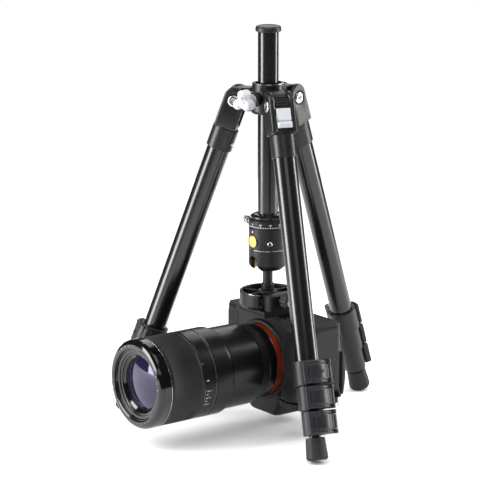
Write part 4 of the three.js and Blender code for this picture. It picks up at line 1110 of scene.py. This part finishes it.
def build_clamp():
    """The round clamp with its ribbed hollow, the moving jaw, and the clamp knob."""
    low, high = extent("clamp_body", BALL)
    radius, top, bottom = -low[0], high[2], low[2]
    limit = high[0]
    floor, web = top - 6.4, bottom + 5.6
    levels = 40
    out = along(soften([(radius - 1.6, bottom), (radius, bottom + 1.8), (radius, top - 0.6),
                        (radius - 0.7, top)], (0, 0.8, 0.5, 0)), levels)
    inside = np.column_stack([np.full(levels, radius - 2.7), out[:, 1]])
    inside[-3:, 0] += (0.05, 0.15, 0.35)
    wall = cut_wall(out, inside, limit)
    base = prism(cut_round(radius - 1.8, limit, 90), web, floor, 0.2)
    rail = prism(cut_round(radius - 1.8, -15.9, 40), bottom, web + 0.1, 0.3)
    boss = ring([(3.0, floor - 0.5), (9.0, floor - 0.5), (9.0, top - 0.9), (8.2, top - 0.05), (3.0, top)],
                (0, 0.2, 0.6, 0.4, 0.2), 72)
    cap = cylinder(5.6, top - 0.9, top - 0.05, 0.2, 48)
    parts = [(shape, HEAD_BLACK) for shape in (wall, base, rail, boss, cap)]
    for turn in range(30, 360, 60):
        outer = 14.2 if turn in (30, 330) else radius - 2.4
        rib = prism(rectangle(8.4, outer, -0.9, 0.9, 0.3), floor - 0.3, top - 1.3, 0.2, 0.5)
        parts.append((rotated(rib, "Z", turn), HEAD_BLACK))
    edge_out = np.array([(radius - 0.42, top - 0.2), (radius - 0.85, top + 0.02)])
    edge_in = np.array([(radius - 0.6, top - 0.4), (radius - 1.1, top - 0.15)])
    parts.append((cut_wall(edge_out, edge_in, limit), BRIGHT))
    piece("clamp_body_look", "clamp", BALL, parts, ["clamp_body"])
    low, high = extent("clamp_jaw", BALL)
    outline = rectangle(low[0], high[0], low[1], high[1], (0.6, 3.2, 3.2, 0.6))
    block = prism(outline, low[2], high[2], 0.6, 0.9)
    lip = prism(rectangle(low[0], high[0] - 2.2, low[1] + 3, high[1] - 3, 0.8), high[2] - 0.3,
                high[2] + 0.35, 0.3, 0.4)
    parts = [(block, HEAD_BLACK), (lip, HEAD_BLACK)]
    screw = cylinder(1.7, high[2] - 0.4, high[2] + 0.15, 0.15, 32)
    for y in (low[1] + 4.6, high[1] - 4.6):
        parts.append((moved(screw, (low[0] + high[0]) / 2, y), STEEL))
    piece("clamp_jaw_look", "clamp_jaw", BALL, parts, ["clamp_jaw"])
    low, high = extent("clamp_knob", BALL)
    centre_z = (low[2] + high[2]) / 2
    radius = (high[1] - low[1]) / 2
    tip = high[0]
    body = grip_knob(radius, tip - 11, tip, 9)
    stud = cylinder(2.4, low[0], tip - 10.5, 0.2, 32)
    inlay = washer(radius - 3.4, radius - 2.9, tip - 0.7, tip - 0.2, 0.1, 64)
    piece("clamp_knob_look", "clamp_knob", BALL,
          [(moved(rotated(shape, "Y", 90), 0, 0, centre_z), look)
           for shape, look in ((body, RUBBER), (stud, STEEL), (inlay, BRIGHT))],
          ["clamp_knob"])


def build_plate():
    """The camera's plate: a flange under the body, a dovetail that the clamp grips, and rubber pads."""
    low, high = extent("camera_plate", CAMERA)
    x, y, bottom = high[0], high[1], low[2]
    flange = prism(rectangle(-x, x, -y, y, 1.6), -6.3, -0.3, 0.5, 0.5)
    flat = prism([(-13.5, bottom + 5.4), (-15.5, bottom + 0.25), (15.5, bottom + 0.25),
                  (13.5, bottom + 5.4)], -y, y, 0.3)
    tail = np.column_stack([flat[0][:, 0], -flat[0][:, 2], flat[0][:, 1]]), flat[1]
    neck = prism(rectangle(-13.4, 13.4, -y, y, 0.3), bottom + 5.0, -6.0, 0.2)
    parts = [(flange, HEAD_BLACK), (tail, HEAD_BLACK), (neck, HEAD_BLACK)]
    # painted shade: a near-black strip let into each side of the flange stands in for the shade of its groove
    groove = rotated(prism(rectangle(-x + 3, x - 3, -0.35, 0.35, 0.1), -0.35, 0.02, 0.05), "X", 90)
    parts += [(moved(groove, 0, side * (y - 0.02), -3.3), NEAR_BLACK_AND_PAINTED_SHADE) for side in (-1, 1)]
    pad = prism(rectangle(-x + 2.5, x - 2.5, y - 7.5, y - 2.5, 1.0), -0.6, -0.12, 0.1)
    parts += [(rotated(pad, "Z", turn), RUBBER) for turn in (0, 180)]
    piece("camera_plate_look", "camera", CAMERA, parts, ["camera_plate"])


build_spider()
build_column()
build_column_knob()
build_pan_base()
build_housing()
build_head_knobs()
build_ball()
build_clamp()
build_plate()


# ------------------------------------------------------------------ camera

def seam(path, depth_from, width=0.28, rise=0.05):
    """A thin dark line laid on a flat face: a closed or open path of (x, y) as a strip of little height."""
    path = np.asarray(path, float)
    ahead = np.gradient(path, axis=0)
    ahead /= np.linalg.norm(ahead, axis=1, keepdims=True) + 1e-12
    across = np.stack([-ahead[:, 1], ahead[:, 0]], 1) * width / 2
    sections = [(across, depth_from - 0.2), (across, depth_from + rise), (-across, depth_from + rise),
                (-across, depth_from - 0.2)]
    rings = np.stack([np.column_stack([path + shift, np.full(len(path), z)]) for shift, z in sections], 1)
    return skin(rings)


def on_end(shape, x):
    """A shape in XY with its height along Z, laid on the body's -X end face: its x runs along Y."""
    points, faces = shape
    return np.column_stack([x - points[:, 2], points[:, 0], points[:, 1]]), faces


def on_far_end(shape, x):
    """A shape in XY with its height along Z, laid on the body's +X end face: its x runs along Y."""
    points, faces = shape
    return np.column_stack([x + points[:, 2], points[:, 0], points[:, 1]]), faces


def on_back(shape, y):
    """A shape in XY with its height along Z, laid on a face that looks along +Y."""
    points, faces = shape
    return np.column_stack([points[:, 0], y + points[:, 2], points[:, 1]]), faces


def on_front(shape, y):
    """A shape in XY with its height along Z, laid on a face that looks along -Y."""
    points, faces = shape
    return np.column_stack([points[:, 0], y - points[:, 2], points[:, 1]]), faces


def rounded_loop(x0, x1, y0, y1, radius):
    """A rounded rectangle whose first point is repeated at its end."""
    loop = rectangle(x0, x1, y0, y1, radius)
    return np.concatenate([loop, loop[:1]])


def build_body():
    """The body shell on its base plate, with leather on both ends and the front, doors, screws, the lens
    release, the lamp window and the strap lug."""
    low, high = extent("camera_body", CAMERA)
    x0, x1 = extent("top_cover", CAMERA)[0][0], high[0]
    y0, y1, top = extent("mount_ring", CAMERA)[1][1] + 0.3, high[1], high[2]
    shell = prism(rectangle(x0 + 0.1, x1, y0, y1, (5, 6, 6, 9)), 2.2, top, 0.6, 0.4)
    foot = prism(rectangle(x0 + 0.6, x1 - 0.5, y0 + 0.5, y1 - 0.5, (5, 6, 6, 8.5)), 0.0, 1.9, 0.5, 0.1)
    line = prism(rectangle(x0 + 1.1, x1 - 1.0, y0 + 1.0, y1 - 1.0, (5, 6, 6, 8)), 1.7, 2.4, 0.05)
    parts = [(shell, CAMERA_PAINT), (foot, CAMERA_PAINT), (line, NEAR_BLACK_AND_PAINTED_SHADE)]
    skin_end = prism(rectangle(y0 + 4, y1 - 7.4, 4.2, top - 3.2, (2.5, 2.5, 4, 4)), -0.4, 0.28, 0.25)
    parts.append((on_end(skin_end, x0 + 0.1), LEATHER))
    door = rounded_loop(y0 + 9, y1 - 8.6, 12, top - 7, 3.0)
    parts.append((on_end(seam(door, 0.2), x0 + 0.1), NEAR_BLACK_AND_PAINTED_SHADE))
    # painted shade: the slot is a near-black block inside its surround, where an opening would be
    slot = prism(rectangle(y0 + 17.6, y0 + 21.2, 31, 49, 1.6), -0.6, 0.34, 0.1)
    surround = prism(rectangle(y0 + 16.9, y0 + 21.9, 30.3, 49.7, 2.2), -0.4, 0.3, 0.2)
    parts += [(on_end(surround, x0 + 0.1), MOULDED_FRAME), (on_end(slot, x0 + 0.1), NEAR_BLACK_AND_PAINTED_SHADE)]
    side = prism(rectangle(y0 + 3, y1 - 3, 5, top - 4, 3), -0.3, 0.25, 0.25)
    parts.append((on_far_end(side, x1), LEATHER))
    for z0, z1 in ((10, 30), (33, 58)):
        flap = seam(rounded_loop(y0 + 8, y1 - 6, z0, z1, 2.5), 0.2)
        parts.append((on_far_end(flap, x1), NEAR_BLACK_AND_PAINTED_SHADE))
    front_skin = prism(rectangle(36.5, x1 - 3.5, 4.5, top - 4.5, (2, 4, 4, 2)), -0.3, 0.22, 0.2)
    parts.append((on_front(front_skin, y0), LEATHER))
    release = moved(rotated(cylinder(4.0, 0, 3.4, 0.8, 40), "X", 90), 38.6, y0 + 0.2, 33.5)
    parts.append((release, CAMERA_PAINT))
    lamp = moved(rotated(cylinder(1.4, 0, 0.35, 0.2, 28), "X", 90), -39.5, y0 + 0.1, top - 8)
    parts.append((lamp, SCREEN))
    points, faces = seam(rounded_loop(x0 + 4, x0 + 33, y0 + 3, y1 - 3.5, 3), 0.0)
    parts.append(((points * (1, 1, -1), faces), NEAR_BLACK_AND_PAINTED_SHADE))  # the battery door's seam, on the underside
    for x, y in ((-14, 24), (30, 3), (46, 22), (-30, 0)):
        parts.append((moved(cylinder(1.5, -0.12, 0.3, 0.08, 24), x, y), STEEL))
    lug_low, lug_high = extent("strap_ring", CAMERA)
    lug_z = top - 3.6
    lug_y = (lug_low[1] + lug_high[1]) / 2
    outline = rectangle(low[0] + 0.02, x0 + 1, lug_z - 2.6, lug_z + 2.6, (2.2, 0.2, 0.2, 2.2))
    parts.append((on_back(prism(outline, -1.4, 1.4, 0.3), lug_y), CAMERA_PAINT))
    piece("camera_body_look", "camera", CAMERA, parts, ["camera_body"])


def build_back():
    """Thumb rest, buttons and rear dial on the back, riding on the body."""
    x0, (back, top) = extent("top_cover", CAMERA)[0][0], extent("camera_body", CAMERA)[1][1:]
    x = np.linspace(x0 + 1.2, x0 + 25, 40)
    across = np.clip((x - x0 - 1.2) / 23.8, 0, 1)
    rows = []
    for share in np.linspace(0, 1, 25):
        z = 27 + share * (top - 28)
        swell = 6.4 * np.sin(np.pi * np.clip(share * 0.92 + 0.04, 0, 1)) ** 0.6
        rise = swell * np.clip(np.sin(np.pi * across ** 0.62), 0, None) ** 0.7
        rows.append(np.column_stack([x, back - 0.1 + rise, np.full(len(x), z)]))
    rest_face = np.array(rows)
    rest_back = rest_face.copy()
    rest_back[..., 1] = back - 0.6
    parts = [(plate(rest_face, rest_back), LEATHER)]
    button = moved(rotated(cylinder(1.9, 0, 1.0, 0.4, 32), "X", -90), x0 + 4.6, back - 2.6, top - 4.4)
    parts.append((button, RED))
    dial = rod([(CORE, 0), (9.2, 0), (9.2, 1.6), (8.2, 2.2), (3.6, 2.2), (3.2, 1.9), (CORE, 1.9)],
               (0, 0.2, 0.5, 0.4, 0.2, 0.1, 0), 144, wave=ribbing(48, 0.12, 0.3))
    parts.append((moved(rotated(dial, "X", -90), x0 + 14.2, back - 0.1, 14.5), MOULDED))
    for x, z, radius in ((x0 + 19, 30, 2.0), (x0 + 8.5, 25.4, 1.9), (x0 + 38, top - 4, 2.0)):
        button = rotated(cylinder(radius, 0, 1.0, 0.4, 32), "X", -90)
        parts.append((moved(button, x, back - 0.1, z), MOULDED))
    piece("camera_back_controls", "camera", CAMERA, parts)


def build_grip():
    """The hand grip: a column of outlines whose nose is full at the finger rest and slimmer under it."""
    low, high = extent("hand_grip", CAMERA)
    x0, x1, front, root = low[0], high[0], low[1], high[1]
    angle = np.linspace(np.pi, 0, 60)
    bulge = np.sign(np.cos(angle)) * np.abs(np.cos(angle)) ** 0.62
    rings = []
    for z in np.linspace(low[2], high[2], 40):
        share = (z - low[2]) / (high[2] - low[2])
        tuck = 3.4 * np.exp(-((share - 0.7) / 0.16) ** 2)
        nose = front + 0.6 + tuck + 2.8 * (1 - share) ** 2
        edge = min(z - low[2], high[2] - z)
        draw = 2.6 * (1 - np.sqrt(np.clip(1 - (1 - np.clip(edge / 2.6, 0, 1)) ** 2, 0, 1)))
        half, middle = (x1 - x0) / 2 - draw * 0.6, (x1 + x0) / 2
        depth = root - nose - draw
        rings.append(np.column_stack([middle + half * bulge, root - depth * np.abs(np.sin(angle)) ** 0.72,
                                      np.full(len(angle), z)]))
    parts = [(skin(rings), LEATHER)]
    shoe = prism(rectangle(x0 + 5.5, x1 - 4.5, front + 9, root - 3, 3), high[2] - 0.6, high[2] + 0.18, 0.2)
    parts.append((shoe, CAMERA_PAINT))
    dial = rod([(CORE, -1.7), (4.4, -1.7), (4.4, 1.7), (CORE, 1.7)], (0, 0.4, 0.4, 0), 120,
               wave=ribbing(30, 0.14, -np.inf))
    parts.append((moved(rotated(dial, "Y", 90), (x0 + x1) / 2 + 1, front + 6.6, high[2] - 3.6), MOULDED))
    piece("hand_grip_look", "camera", CAMERA, parts, ["hand_grip"])


def build_cover():
    """The top cover: a shoulder over the body, and a hump with sloped sides and a hot shoe."""
    low, high = extent("top_cover", CAMERA)
    shoulder = low[2] + 5.4
    x0, (x1, y1) = low[0], extent("camera_body", CAMERA)[1][:2]
    y0 = extent("mount_ring", CAMERA)[1][1] + 0.3
    deck = prism(rectangle(x0 + 0.05, x1 - 0.05, y0 + 0.05, y1 - 0.05, (5, 6, 6, 9)), low[2], shoulder,
                 0.3, 1.8)
    rings = []
    front, back = low[1] + 0.4, high[1] - 0.4
    for share in np.linspace(0, 1, 26):
        z = shoulder - 1.2 + share * (high[2] - shoulder + 1.2)
        half = 28.6 - 9.8 * share ** 1.3
        lean = 1.6 * share ** 2
        crown = 3.2 * (1 - np.sqrt(np.clip(1 - np.clip((share - 0.82) / 0.18, 0, 1) ** 2, 0, 1)))
        outline = rectangle(-half + crown, half - crown, front + lean + crown, back - 0.6 * lean - crown, 4.5)
        rings.append(np.column_stack([outline, np.full(len(outline), z)]))
    hump = skin(rings)
    parts = [(deck, CAMERA_PAINT), (hump, CAMERA_PAINT)]
    rail = prism(rectangle(7.6, 10.2, 6, 25, 0.5), high[2] - 0.4, high[2] + 0.9, 0.2)
    parts += [((rail[0] * (side, 1, 1), rail[1]), STEEL) for side in (-1, 1)]
    bed = prism(rectangle(-9.6, 9.6, 6, 25.4, 0.8), high[2] - 0.5, high[2] + 0.08, 0.05)
    parts.append((bed, NEAR_BLACK_AND_PAINTED_SHADE))
    contact = cylinder(1.1, high[2] - 0.1, high[2] + 0.2, 0.05, 24)
    parts.append((moved(contact, 0, 15), BRIGHT))
    loop = rectangle(-15, 15, shoulder + 1.8, high[2] - 4.5, 4.0)
    cup = swept(np.column_stack([loop[:, 0], np.full(len(loop), high[1] - 0.7), loop[:, 1]]), 1.5, 10,
                closed=True)
    window = prism(rectangle(-11, 11, shoulder + 4.4, high[2] - 7, 2.5), -1.2, 0.0, 0.1)
    parts += [(cup, RUBBER), (on_back(window, high[1] - 0.2), SCREEN)]
    for x, y, radius, tall, ribs in ((-58.5, 20.5, 6.6, 6.0, 40), (46.0, 17.0, 4.4, 2.2, 0)):
        knob = rod([(CORE, shoulder - 0.3), (radius, shoulder - 0.3), (radius, shoulder + tall - 0.6),
                    (radius - 0.7, shoulder + tall), (CORE, shoulder + tall)], (0, 0.1, 0.3, 0.3, 0),
                   max(64, ribs * 4), wave=ribbing(ribs, 0.13, shoulder + 0.3) if ribs else None)
        parts.append((moved(knob, x, y), MOULDED))
    button = cylinder(2.1, shoulder - 0.2, shoulder + 0.7, 0.3, 32)
    parts += [(moved(button, x, y), MOULDED) for x, y in ((-49, 1.5), (-55, 5.5), (-30, 24))]
    grip_low, grip_high = extent("hand_grip", CAMERA)
    nib = prism(rectangle(grip_low[0] + 0.3, grip_high[0] + 1.0, grip_low[1] + 2.0, y0 + 1, (7, 7, 0.4, 0.4)),
                low[2], shoulder - 0.6, 0.3, 1.4)
    parts.append((nib, CAMERA_PAINT))
    piece("top_cover_look", "camera", CAMERA, parts, ["top_cover"])


def build_camera_controls():
    """The orange mount ring and its surround, the screen, shutter button, mode dial and strap ring."""
    low, high = extent("mount_ring", LENS)
    radius, front = high[0], high[2]
    mount = ring([(24.1, low[2]), (radius, low[2]), (radius, front - 0.3), (radius - 0.5, front),
                  (24.1, front)], (0.2, 0.2, 0.3, 0.2, 0.2), 160)
    edge = ring([(radius - 0.9, front - 0.4), (radius + 0.03, front - 0.75), (radius + 0.03, front - 0.3),
                 (radius - 0.6, front + 0.02)], 0.1, 160, steps=2)
    piece("mount_ring_look", "camera", LENS, [(mount, ORANGE), (edge, BRIGHT)], ["mount_ring"])
    low, high = extent("lcd_panel", CAMERA)
    case = prism(rectangle(low[0], high[0], low[2], high[2], 2.2), 0, high[1] - low[1] - 0.3, 0.3, 0.8)
    glass = prism(rectangle(low[0] + 2.6, high[0] - 2.6, low[2] + 3.4, high[2] - 3.0, 1.0), 3.0,
                  high[1] - low[1] - 0.12, 0.1)
    hinge = rotated(cylinder(1.6, low[0] + 8, high[0] - 8, 0.3, 32), "Y", 90)
    hinge = moved(hinge, 0, low[1] + 1.8, high[2] - 1.7)
    piece("lcd_panel_look", "screen", CAMERA,
          [(on_back(case, low[1]), CAMERA_PAINT), (on_back(glass, low[1]), SCREEN), (hinge, NEAR_BLACK_AND_PAINTED_SHADE)],
          ["lcd_panel"])
    low, high = extent("shutter_button", CAMERA)
    middle = (low + high) / 2
    radius = high[0] - middle[0]
    button = rod([(CORE, low[2]), (radius, low[2]), (radius, high[2] - 0.4), (3.2, high[2] - 0.05),
                  (CORE, high[2] - 0.35)], (0, 0.2, 0.6, 1.0, 0), 64)
    piece("shutter_button_look", "shutter", CAMERA, [(moved(button, middle[0], middle[1]), LENS_SATIN)],
          ["shutter_button"])
    low, high = extent("mode_dial", CAMERA)
    middle, radius = (low + high) / 2, (high[0] - low[0]) / 2 - 0.1
    dial = rod([(CORE, low[2]), (radius, low[2]), (radius, high[2] - 0.8), (radius - 0.7, high[2] - 0.1),
                (CORE, high[2] - 0.1)], (0, 0.2, 0.3, 0.3, 0), 176,
               wave=ribbing(44, 0.16, low[2] + 0.6, high[2] - 0.8))
    mark = prism(rectangle(-0.3, 0.3, -0.8, 0.8, 0.1, 1), high[2] - 0.15, high[2] - 0.04, 0.02, steps=1)
    mark = moved(mark, 0, radius - 2.4)
    parts = [(dial, MOULDED)] + [(rotated(mark, "Z", 45 * k), WHITE_MARK) for k in range(8)]
    parts = [(moved(shape, middle[0], middle[1]), look) for shape, look in parts]
    piece("mode_dial_look", "mode", CAMERA, parts, ["mode_dial"])
    low, high = extent("strap_ring", CAMERA)
    middle = (low + high) / 2
    across, tall = (high[0] - low[0]) / 2 - 0.8, (high[2] - low[2]) / 2 - 0.8
    turn = np.arange(64) / 64 * TAU
    outline = np.column_stack([middle[0] + across * np.cos(turn), np.full(64, middle[1]),
                               middle[2] + tall * np.sign(np.sin(turn)) * np.abs(np.sin(turn)) ** 0.9])
    piece("strap_ring_look", "strap", CAMERA, [(swept(outline, 0.78, 14, closed=True), BRIGHT)],
          ["strap_ring"])
    back = extent("mount_ring", LENS)[0][2] - 0.2
    rise = ring([(32.7, back), (36.6, back), (35.4, back + 2.0), (33.2, back + 2.6), (32.7, back + 2.4)],
                (0.2, 0.3, 0.5, 0.3, 0.2), 144)
    piece("mount_surround", "camera", LENS, [(rise, CAMERA_PAINT)])


# ------------------------------------------------------------------ lens

def silver_line(radius, z):
    """A thin raised line round the lens."""
    return ring([(radius - 0.5, z - 0.16), (radius + 0.03, z - 0.14), (radius + 0.03, z + 0.14),
                 (radius - 0.5, z + 0.16)], 0.03, 180, steps=1)


def build_lens():
    """The barrel with its collar, marks and switch, the focus ring, the front ring and its glass."""
    low, high = extent("lens_barrel", LENS)
    rear, start, stop = 33.3, low[2], high[2]
    main = high[0]
    focus_low, focus_high = extent("focus_ring", LENS)
    neck = focus_low[2] - 0.3
    core = min(main - 3.3, 35.9)
    profile = [(22.0, start), (rear - 0.7, start), (rear, start + 0.7), (rear, 4.4), (rear + 0.35, 4.8),
               (rear + 0.35, 8.6), (rear, 9.0), (rear, 17.2), (36.3, 19.2), (36.35, 49.2), (36.0, 49.6),
               (36.0, 50.6), (36.6, 51.0), (main - 0.25, 53.4), (main - 0.05, 54.6), (main - 0.05, 69.4),
               (main - 0.5, 69.7), (main - 0.5, 70.3), (main - 0.05, 70.6), (main - 0.05, neck - 1.0),
               (main - 0.6, neck), (core, neck + 0.1), (core, stop - 0.3), (22.0, stop)]
    radii = (0.3, 0.3, 0.3, 0.1, 0.1, 0.1, 0.1, 1.4, 1.2, 0.15, 0.1, 0.1, 1.2, 0.8, 0.5,
             0.1, 0.1, 0.1, 0.1, 0.4, 0.2, 0.2, 0.3, 0.3)
    parts = [(ring(profile, radii, 180, steps=3), LENS_SATIN),
             (silver_line(main - 0.08, neck - 1.5), BRIGHT), (silver_line(main - 0.08, 71.6), GREY_PLASTIC)]

    def slots(angle, z):
        return -0.22 * (np.cos(150 * angle) > 0.2) * (z > 9.4) * (z < 16.4)

    collar = ring([(rear - 0.6, 9.3), (rear + 0.45, 9.5), (rear + 0.45, 16.4), (rear - 0.6, 16.6)],
                  0.1, 900, steps=2, wave=slots)
    parts.append((collar, MOULDED))
    for turn, tall in ((-98, 1.7), (-103, 1.1), (-108, 1.7), (-113, 1.1), (-118, 1.7), (-84, 2.4)):
        mark = prism(rectangle(-0.3, 0.3, -tall / 2, tall / 2, 0.05, 1), -0.1, 0.05, 0.02, steps=1)
        parts.append((wrapped(mark, main - 0.04, np.radians(turn), neck - 4.2), WHITE_MARK))
    for turn, text in ((-98, "2"), (-108, "3"), (-118, "5")):
        points, faces = figures(text, FIGURE_SIZE)
        label = wrapped((points * (-1, -1, 1), faces), main - 0.04, np.radians(turn), neck - 7.0)
        parts.append((label, WHITE_MARK))
    dot = wrapped(cylinder(0.9, -0.1, 0.12, 0.05, 24), rear, np.radians(120), 6.7)
    parts.append((dot, WHITE_MARK))
    switch = wrapped(prism(rectangle(-3.4, 3.4, -8, 8, 1.6), -1, 0.7, 0.4), 36.3, np.radians(100), 33)
    toggle = wrapped(prism(rectangle(-1.7, 1.7, -2.2, 2.2, 0.6), -0.5, 1.9, 0.4), 36.3, np.radians(100), 35.5)
    parts += [(switch, MOULDED), (toggle, MOULDED_FRAME)]
    piece("lens_barrel_look", "camera", LENS, parts, ["lens_barrel"])
    low, high = focus_low, focus_high
    radius = high[0]

    def ridges(angle, z):
        return -0.2 * (0.5 + 0.5 * np.cos(300 * angle)) * (z > low[2] + 2.4) * (z < high[2] - 2.4)

    rows = np.concatenate([[low[2] + 2.3], np.linspace(low[2] + 2.5, high[2] - 2.5, 3), [high[2] - 2.3]])
    wall = [(core + 0.3, low[2]), (radius - 0.4, low[2]), (radius - 0.02, low[2] + 0.4)]
    wall += [(radius - 0.02, z) for z in rows]
    wall += [(radius - 0.02, high[2] - 0.4), (radius - 0.4, high[2]), (core + 0.3, high[2])]
    grip = turned(wall, 1500, closed=True, wave=ridges)
    piece("focus_ring_look", "focus", LENS, [(grip, FOCUS_RUBBER)], ["focus_ring"])
    low, high = extent("lens_front", LENS)
    radius, z0, z1 = high[0], low[2], high[2]
    nose = [(23.4, z1 - 7.2), (25.6, z1 - 5.6), (25.8, z1 - 4.6), (27.6, z1 - 4.2), (27.8, z1 - 3.2),
            (30.2, z1 - 2.8), (30.6, z1 - 1.6), (31.5, z1 - 1.4), (31.6, z1 - 0.5), (32.6, z1),
            (35.2, z1 - 0.02), (37.4, z1 - 0.9), (radius - 0.35, z1 - 3.0), (radius - 0.02, z1 - 4.6),
            (radius - 0.02, z0 + 1.0), (radius - 0.5, z0 + 0.1), (23.4, z0)]
    radii = (0.2, 0.3, 0.2, 0.3, 0.2, 0.3, 0.2, 0.2, 0.3, 0.6, 0.8, 1.6, 1.4, 0.8, 0.4, 0.3, 0.2)
    parts = [(ring(nose, radii, 180, steps=3), LENS_GLOSS), (silver_line(radius - 0.03, z0 + 0.5), BRIGHT)]
    for z in (z1, z1 + 0.35):
        thread = ring([(31.2, z - 1.3), (31.62, z - 1.22), (31.62, z - 1.1), (31.2, z - 1.0)],
                      0.03, 120, steps=1)
        parts.append((thread, LENS_SATIN))
    for rim, tall in ((29.4, 3.6), (27.0, 4.6)):
        step = ring([(rim - 0.5, z1 - tall - 0.3), (rim, z1 - tall - 0.3), (rim, z1 - tall),
                     (rim - 0.5, z1 - tall)], 0.05, 120, steps=1)
        parts.append((step, LENS_BAFFLE))
    mark = prism(rectangle(-0.16, 0.16, -0.5, 0.5, 0.05, 1), z1 - 0.08, z1 + 0.03, 0.02, steps=1)
    mark = moved(mark, 0, 33.9)
    parts += [(rotated(mark, "Z", 10 * k + 5), WHITE_MARK) for k in range(36) if k % 9 < 4]
    piece("lens_front_look", "camera", LENS, parts, ["lens_front"])
    low, high = extent("front_element", LENS)
    radius, crest = 23.2, high[2] + 0.3
    rim = crest - 3.4
    shares = np.linspace(0.0, 1.0, 30)[1:]
    dome = [(CORE, crest)] + [(radius * share, crest - (crest - rim) * share ** 2) for share in shares]
    glass = turned(dome + [(radius, low[2]), (CORE, low[2])], 128)
    retainer = ring([(22.8, rim - 0.8), (23.9, rim + 0.9), (23.7, rim + 1.2), (22.6, rim - 0.4)],
                    0.1, 128, steps=2)
    piece("front_element_look", "camera", LENS, [(glass, COATED), (retainer, LENS_BAFFLE)],
          ["front_element"])


build_body()
build_back()
build_grip()
build_cover()
build_camera_controls()
build_lens()


# ------------------------------------------------------------------ stage, camera and light

def add_floor():
    """A pale disc under the object, in metres, that dips by 4 mm towards its rim."""
    sides = 96
    radius = np.linspace(0.02, 1.1, 30)[:, None]
    height = -0.0002 - 0.004 * np.clip((radius - 0.6) / 0.5, 0, 1) ** 2
    angle = np.arange(sides) / sides * TAU
    rings = np.stack([radius * np.cos(angle), radius * np.sin(angle), np.repeat(height, sides, 1)], -1)
    points, faces = skin(rings[::-1], caps=False)
    faces.append([(len(radius) - 1) * sides + k for k in range(sides)])
    mesh = bpy.data.meshes.new("floor")
    mesh.from_pydata(points.tolist(), [], faces)
    material, tree, shader = blank("pale floor")
    shade = mixed(tree, noise(tree, object_coordinates(tree), 3, 2), (0.92, 0.92, 0.92), (0.95, 0.95, 0.95))
    tree.links.new(shade, shader.inputs["Base Color"])
    shader.inputs["Roughness"].default_value = 0.85
    mesh.materials.append(material)
    floor = bpy.data.objects.new("floor", mesh)
    bpy.context.scene.collection.objects.link(floor)


def aim(thing, target):
    """Turns a camera or a light to look at a point."""
    thing.rotation_euler = (Vector(target) - thing.location).to_track_quat("-Z", "Y").to_euler()


def direction(azimuth, elevation):
    """The unit vector towards an azimuth, from -Y towards +X, and an elevation, in degrees."""
    a, e = np.radians((azimuth, elevation))
    return Vector((np.sin(a) * np.cos(e), -np.cos(a) * np.cos(e), np.sin(e)))


def add_camera(azimuth, elevation, distance, lens, right_shift, target_z):
    """Azimuth 0 looks along +Y; the target sits right_shift to the right of the column's axis."""
    a = np.radians(azimuth)
    right = Vector((np.cos(a), np.sin(a), 0))
    target = Vector((AXIS[0], AXIS[1], target_z)) + right * right_shift
    data = bpy.data.cameras.new("camera")
    data.lens = lens
    data.sensor_width = 36
    camera = bpy.data.objects.new("camera", data)
    camera.location = target + direction(azimuth, elevation) * distance
    aim(camera, target)
    bpy.context.scene.collection.objects.link(camera)
    bpy.context.scene.camera = camera


def add_light(name, azimuth, elevation, distance, width, height, power, target):
    """A rectangular softbox that faces the target, placed by angle as the camera is."""
    data = bpy.data.lights.new(name, "AREA")
    data.shape = "RECTANGLE"
    data.size, data.size_y = width, height
    data.energy = power
    light = bpy.data.objects.new(name, data)
    light.location = Vector(target) + direction(azimuth, elevation) * distance
    aim(light, target)
    bpy.context.scene.collection.objects.link(light)


def set_world():
    """White where it is seen directly, a dim grey where surfaces reflect it, and a soft light elsewhere."""
    world = bpy.data.worlds.new("studio")
    world.use_nodes = True
    tree = world.node_tree
    background = tree.nodes["Background"]
    path = tree.nodes.new("ShaderNodeLightPath")
    shade = mixed(tree, path.outputs["Is Glossy Ray"], (0.9, 0.9, 0.9), (0.08, 0.08, 0.085))
    shade = mixed(tree, path.outputs["Is Camera Ray"], shade, (1.0, 1.0, 1.0))
    tree.links.new(shade, background.inputs["Color"])
    bpy.context.scene.world = world
    bpy.context.scene.view_settings.view_transform = "Standard"


VIEW = 52.81
MIDDLE = (AXIS[0], AXIS[1], 0.17)
add_floor()
add_camera(VIEW, 13.03, 2.226, 189.0, -0.02455, HINGE_Z - 0.125)
add_light("left box", VIEW - 76, 14, 1.1, 0.45, 1.3, 26, MIDDLE)
add_light("right strip", VIEW + 102, 14, 1.1, 0.25, 1.2, 12, MIDDLE)
add_light("top box", VIEW + 12, 68, 1.3, 0.9, 0.9, 6, MIDDLE)
add_light("front fill", VIEW + 4, 30, 2.0, 0.9, 0.5, 2.6, MIDDLE)
add_light("back rim", VIEW + 170, 35, 1.4, 0.9, 0.9, 4.5, MIDDLE)
set_world()
